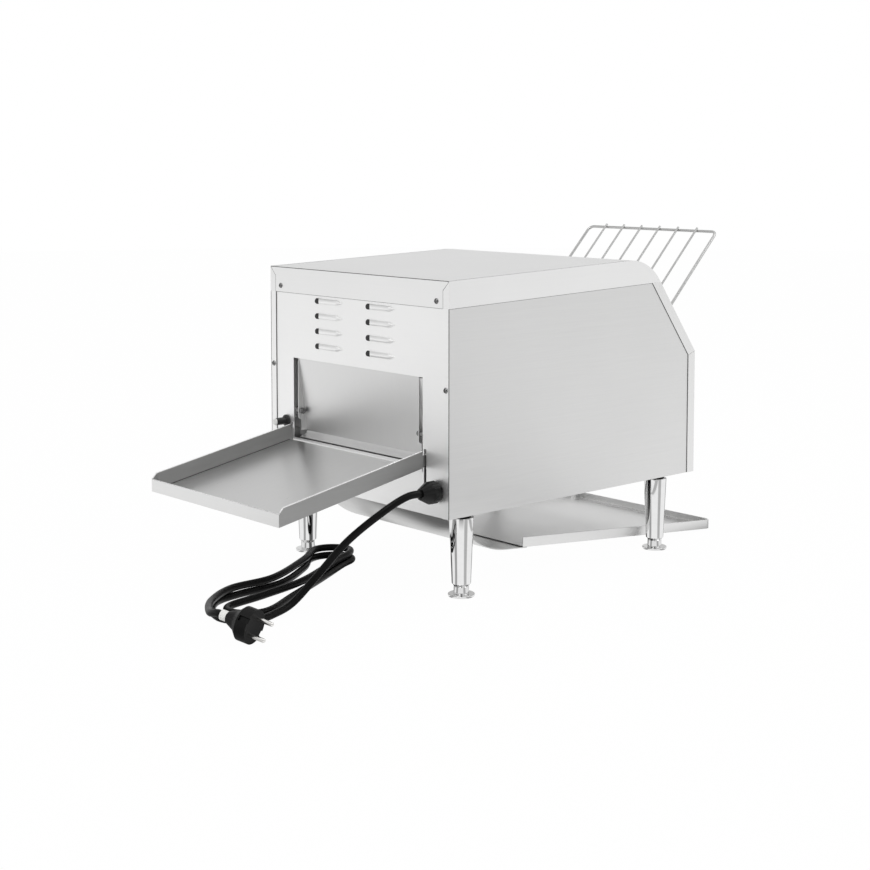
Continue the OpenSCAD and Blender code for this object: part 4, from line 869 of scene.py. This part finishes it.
screw_head_radius = 3.5
screw_head_rise = 1.9
cross_half_width = 0.5
cross_reach = 2.1
cross_depth = 1.1
screw_rings = 12
screw_zinc = plated("dark zinc", (0.24, 0.24, 0.24), 0.28)


def screw_head_mesh():
    shape = bmesh.new()
    rings = []
    for ring in range(screw_rings + 1):
        radius = screw_head_radius * ring / screw_rings
        rise = screw_head_rise * (1 - (ring / screw_rings) ** 3.5)
        steps = 1 if ring == 0 else turning_sides
        row = []
        for step in range(steps):
            x = radius * math.cos(step * math.tau / turning_sides)
            z = radius * math.sin(step * math.tau / turning_sides)
            narrow, wide = sorted((abs(x), abs(z)))
            sunk = cross_depth if narrow < cross_half_width and wide < cross_reach else 0
            row.append(shape.verts.new((x / 1000, (rise - sunk) / 1000, z / 1000)))
        rings.append(row)
    for inner, outer in zip(rings, rings[1:]):
        for step in range(turning_sides):
            following = (step + 1) % turning_sides
            corners = [inner[step % len(inner)], inner[following % len(inner)], outer[following], outer[step]]
            if corners[0] is corners[1]:
                corners.pop(0)
            shape.faces.new(corners)
    shape.faces.new(rings[-1])
    bmesh.ops.recalc_face_normals(shape, faces=shape.faces)
    mesh = bpy.data.meshes.new("screw_head")
    shape.to_mesh(mesh)
    shape.free()
    return mesh


for node, x, y, z in (("cover_screws", 150, 219.5, 352), ("panel_screws", 166, 219.5, 250)):
    fitted(repeated(node + "_heads", screw_head_mesh(), [(-x, y, z), (x, y, z)], screw_zinc), node)


# ---- Toasting chamber ----
# Two inner walls and a front partition in plain sheet, with a reflector above and below the belt and
# frosted quartz heating tubes held in white ceramic ends.

for part in ("left_inner_wall", "right_inner_wall", "front_partition", "upper_reflector",
             "lower_reflector", "belt_guides", "rack_brackets", "motor_bracket"):
    dress(part, inner_sheet, 0.0002)

ceramic = moulded("white ceramic", (0.82, 0.8, 0.74), 0.25, 300.0, 0.04, Coat_Weight=0.4)
quartz = moulded("frosted quartz", (0.86, 0.82, 0.74), 0.28, 400.0, 0.05)
dress("upper_elements", quartz, 0)
dress("lower_elements", quartz, 0)
dress("element_insulators", ceramic, 0.0002)
dress("terminal_block", ceramic, 0.0004)


# ---- Wire belt ----
# Fifty-eight strands of bright round wire. Each is a straight rod with square hooks that reach over the
# next strand, and they close round two rows of twelve-tooth sprockets.

belt_wire_steel = plated("belt wire", (0.76, 0.76, 0.75), 0.2)
belt_pitch = 12
belt_bays = 23
belt_half_width = 120
belt_wire_radius = 0.0008
sprocket_teeth = 12
hook_width = 12
hook_middles = (20, 60, 100)
hook_lift = 2.0
axle_height = 247
drive_axle_y = 126
pitch_radius = belt_pitch / (2 * math.sin(math.pi / sprocket_teeth))


def belt_point(count):
    """Place of a strand in the Y-Z plane, counted round the loop from over the drive shaft."""
    half_wrap = sprocket_teeth // 2
    lap = count % (2 * (belt_bays + half_wrap))
    step = math.tau / sprocket_teeth
    if lap <= belt_bays:
        return Vector((-lap * belt_pitch, pitch_radius))
    if lap < belt_bays + half_wrap:
        angle = math.pi / 2 + (lap - belt_bays) * step
        return Vector((-belt_bays * belt_pitch + pitch_radius * math.cos(angle),
                       pitch_radius * math.sin(angle)))
    if lap <= 2 * belt_bays + half_wrap:
        return Vector(((lap - 2 * belt_bays - half_wrap) * belt_pitch, -pitch_radius))
    angle = -math.pi / 2 + (lap - 2 * belt_bays - half_wrap) * step
    return Vector((pitch_radius * math.cos(angle), pitch_radius * math.sin(angle)))


def strand_line(odd):
    """The bends of one strand, in millimetres: the rod with a square hook at every hook place."""
    line = [(-belt_half_width, 0)]
    starts = sorted(side * middle + (hook_width * odd if side > 0 else -hook_width * odd)
                    for side in (-1, 1) for middle in hook_middles)
    for middle in starts:
        left, right = middle - hook_width / 2 + 0.8, middle + hook_width / 2 - 0.8
        line += [(left, 0), (left, belt_pitch), (right, belt_pitch), (right, 0)]
    return line + [(belt_half_width, 0)]


def strand_mesh(odd):
    corners = strand_line(odd)
    mesh = bpy.data.meshes.new("belt_strand")
    mesh.from_pydata([(x / 1000, y / 1000, 0) for x, y in corners],
                     [(step, step + 1) for step in range(len(corners) - 1)], [])
    return mesh


lean = math.asin(hook_lift / belt_pitch)
strand_total = 2 * (belt_bays + sprocket_teeth // 2)
for odd, name in ((0, "belt_strands_even"), (1, "belt_strands_odd")):
    places, turns = [], []
    for count in range(odd, strand_total, 2):
        here, there = belt_point(count), belt_point(count + 1)
        places.append((0, drive_axle_y + here.x, axle_height + here.y))
        turns.append((math.atan2(there.y - here.y, there.x - here.x) - lean, 0, 0))
    sample = bpy.data.objects.new(name + "_sample", strand_mesh(odd))
    scene.collection.objects.link(sample)
    strands = point_rows(name, places, turns)
    with_nodes(strands, rows_of_pieces, Piece=sample, Size=1.0, Finish=belt_wire_steel)
    with_nodes(strands, bent_wire, Wire_radius=belt_wire_radius, Sides=8, Finish=belt_wire_steel)
    made_plain(strands, belt_wire_steel)
    bpy.data.objects.remove(sample)
    fitted(strands, "conveyor_belt")


# ---- Shafts, sprockets and drive ----
# Plain steel shafts in bronze bushes, pressed sprockets, a roller chain from the gear motor, and the
# motor on its folded bracket behind the right inner wall.

shaft_steel = plated("shaft steel", (0.7, 0.7, 0.69), 0.2)
dark_steel = plated("dark steel", (0.3, 0.3, 0.3), 0.35)
bronze = plated("bronze", (0.6, 0.42, 0.22), 0.35)
for part in ("drive_shaft", "idler_shaft"):
    dress(part, shaft_steel)
for part in ("drive_sprockets", "idler_sprockets", "motor_sprocket", "chain_sprocket", "drive_chain"):
    dress(part, dark_steel, 0.0001)
dress("shaft_bushes", bronze)
dress("gear_motor", zinc, 0.0005)


# ---- Controls ----
# Two knobs, a rocker switch and a pilot lamp on the front panel, and the button of a thermal cut-out
# on the rear panel.

knob_skin = moulded("knob moulding", (0.02, 0.02, 0.02), 0.4)
rocker_skin = moulded("rocker moulding", (0.5, 0.03, 0.02), 0.25, 300.0, 0.03)
lamp_lens = moulded("amber lens", (0.85, 0.35, 0.05), 0.12, 300.0, 0.02)
dress("speed_knob", knob_skin, 0.0005, 3)
dress("heat_knob", knob_skin, 0.0005, 3)
dress("switch_body", knob_skin, 0.0004)
dress("switch_rocker", rocker_skin, 0.0003)
dress("pilot_lamp", lamp_lens, 0.0003)
dress("speed_control", knob_skin)
dress("heat_selector", knob_skin)
reset_tip = moulded("pale button tip", (0.75, 0.75, 0.74), 0.35, 500.0, 0.04)
reset_tip_from = 0.2195 + 0.011 + body_middle_y
dress("reset_switch", knob_skin)
dress("reset_button", knob_skin, 0.0004, second=reset_tip,
      chosen=lambda face: face.calc_center_median().y > reset_tip_from)


# ---- Feed rack ----
# Bright wire, bent and spot welded: a frame rod round three sides and straight wires on two cross
# rods, which drop into slotted brackets inside the feed slot.

rack_wire = plated("rack wire", (0.6, 0.6, 0.595), 0.2)
rack_low = (-178, 262)
rack_angle = math.radians(135)
rack_length = 213.5
rack_half_width = 118.5
rack_rod_radius = 1.99
rack_wire_radius = 1.5
rack_corner = 8
rack_cross_reach = 126.5
rack_cross_places = (0, 20)
rack_spaces = 7
corner_steps = 8


def on_rack(x, along, out):
    """A point of the rack's own plane, turned to its slope."""
    return (x, rack_low[0] + along * math.cos(rack_angle) - out * math.sin(rack_angle),
            rack_low[1] + along * math.sin(rack_angle) + out * math.cos(rack_angle))


frame_line = [on_rack(-rack_half_width, 0, 0)]
for side, start in ((-1, math.pi), (1, math.pi / 2)):
    for step in range(corner_steps + 1):
        angle = start - step * math.pi / 2 / corner_steps
        frame_line.append(on_rack(side * (rack_half_width - rack_corner) + rack_corner * math.cos(angle),
                                  rack_length - rack_corner + rack_corner * math.sin(angle), 0))
frame_line.append(on_rack(rack_half_width, 0, 0))
rod_lines = [frame_line]
for place in rack_cross_places:
    rod_lines.append([on_rack(-rack_cross_reach, place, 0), on_rack(rack_cross_reach, place, 0)])
weld_depth = 0.3
wire_past = (1, 3)
wire_out = -(rack_rod_radius + rack_wire_radius - weld_depth)
wire_lines = []
for count in range(1, rack_spaces):
    x = -rack_half_width + count * 2 * rack_half_width / rack_spaces
    wire_lines.append([on_rack(x, -wire_past[0], wire_out),
                       on_rack(x, rack_length + wire_past[1], wire_out)])
for name, lines, radius in (("rack_rods", rod_lines, rack_rod_radius),
                            ("rack_wires", wire_lines, rack_wire_radius)):
    wires = line_mesh(name, lines)
    with_nodes(wires, bent_wire, Wire_radius=radius / 1000, Sides=20, Finish=rack_wire)
    made_plain(wires, rack_wire, 60)
    fitted(wires, "feed_rack")


# ---- Deflector ----
# A plate with side flanges, brushed upright, that tilts on two bolts in the jambs of the rear opening.
# Its lower edge is folded outwards over the opening's own folded sill, and a strip carries it on to
# the left jamb.

deflector_sheet = brushed("deflector sheet", (0.76, 0.76, 0.757), along_z, along_z, 0.42, 0.02, 0.1, 0.02)
dress("deflector", deflector_sheet, 0.0003)
dress("deflector_bolts", screw_zinc, 0.0003)


def folded_strip(name, profile, left, right, thickness, material):
    """A strip of sheet that follows a profile of (y, z) points from x = left to x = right."""
    points = [(x / 1000, y / 1000 + body_middle_y, z / 1000) for x in (left, right) for y, z in profile]
    count = len(profile)
    mesh = bpy.data.meshes.new(name)
    mesh.from_pydata(points, [], [(step, step + 1, count + step + 1, count + step)
                                  for step in range(count - 1)])
    mesh.materials.append(material)
    piece = bpy.data.objects.new(name, mesh)
    scene.collection.objects.link(piece)
    wall = piece.modifiers.new("sheet", "SOLIDIFY")
    wall.thickness = thickness / 1000
    wall.offset = 0
    round_off = piece.modifiers.new("rounded edges", "BEVEL")
    round_off.width = thickness / 4000
    round_off.segments = 2
    return piece


strip_thickness = 0.8
lip_profile = [(204.8, 166.6), (207, 164.5), (215.6, 159.4)]
lip_half_width = 115.8
lip = folded_strip("deflector_lip", lip_profile, -lip_half_width, lip_half_width, strip_thickness,
                   deflector_sheet)
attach(lip, body_of["deflector"])
edge_profile = [(204.8, 166.9), (216.3, 259.6)]
edge_reach = (-123.5, -116.6)
turned_edge = folded_strip("deflector_edge", edge_profile, *edge_reach, strip_thickness, deflector_sheet)
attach(turned_edge, body_of["deflector"])
sill_profile = [(218.9, 149.4), (218.9, 158.6)]
sill_half_width = 124.6
sill = folded_strip("opening_sill", sill_profile, -sill_half_width, sill_half_width, strip_thickness,
                    rear_sheet_painted_lighter)
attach(sill, "housing")


# ---- Chute and trays ----
# Satin sheet: a curved chute under the body, the front tray that takes over from it, and the rear
# tray with folded walls, hooked into slots beside the opening. The rear tray's rim and the front tray's end
# are rolled.
# Its walls are painted darker than its floor, painted shade as light falls on them, and dark wires of painted
# shade mark the creases where they are folded up.

tray_sheet = brushed("tray sheet", (0.77, 0.77, 0.767), along_y, along_x, 0.32, 0.04)
# The rear tray's walls take a darker copy of the tray sheet: painted shade.
tray_wall_painted_shade = brushed("tray wall sheet painted darker", (0.4, 0.4, 0.397), along_y, along_x, 0.6, 0.12)
front_tray_sheet = brushed("front tray sheet", (0.84, 0.84, 0.837), along_y, along_x, 0.42, 0.02)
chute_sheet = brushed("chute sheet", (0.62, 0.62, 0.615), along_x, along_x, 0.34, 0.04)
rolled_edge = plated("rolled edge", (0.92, 0.92, 0.915), 0.25)
dress("lower_chute", chute_sheet, 0.0003)
dress("front_tray", front_tray_sheet, 0.0004)
dress("rear_tray", tray_sheet, 0.0003, second=tray_wall_painted_shade,
      chosen=lambda face: abs(face.normal.x) > 0.7, flatten=0)

tray_half_width = 128
rim_radius = 0.8
rim_side = [(222.6, 174.6), (422.8, 137.6), (428.6, 131.2)]
rear_rim = [(-tray_half_width, *point) for point in rim_side]
rear_rim += [(tray_half_width, *point) for point in reversed(rim_side)]
rim = line_mesh("rear_tray_rim", [rear_rim])
with_nodes(rim, bent_wire, Wire_radius=rim_radius / 1000, Sides=10, Finish=rolled_edge)
made_plain(rim, rolled_edge, 60)
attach(rim, body_of["rear_tray"])

# Dark wires of painted shade along the rear tray's folded creases.
crease_inner = (224, 155.5)
crease_outer = (427.8, 117.75)
crease_side = 127.4
crease_radius = 0.0005
creases = line_mesh("rear_tray_creases", [[
    (-crease_side, *crease_inner), (-crease_side, *crease_outer),
    (crease_side, *crease_outer), (crease_side, *crease_inner)]])
with_nodes(creases, bent_wire, Wire_radius=crease_radius, Sides=8, Finish=fold_shade)
made_plain(creases, fold_shade)
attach(creases, body_of["rear_tray"])

curl_radius = 4.2
curl_half_length = 118
curl_middle = (-316.6, 5.4)
curl = line_mesh("front_tray_curl", [[(-curl_half_length, *curl_middle), (curl_half_length, *curl_middle)]])
with_nodes(curl, bent_wire, Wire_radius=curl_radius / 1000, Sides=28, Finish=rolled_edge)
made_plain(curl, rolled_edge, 60)
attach(curl, body_of["front_tray"])
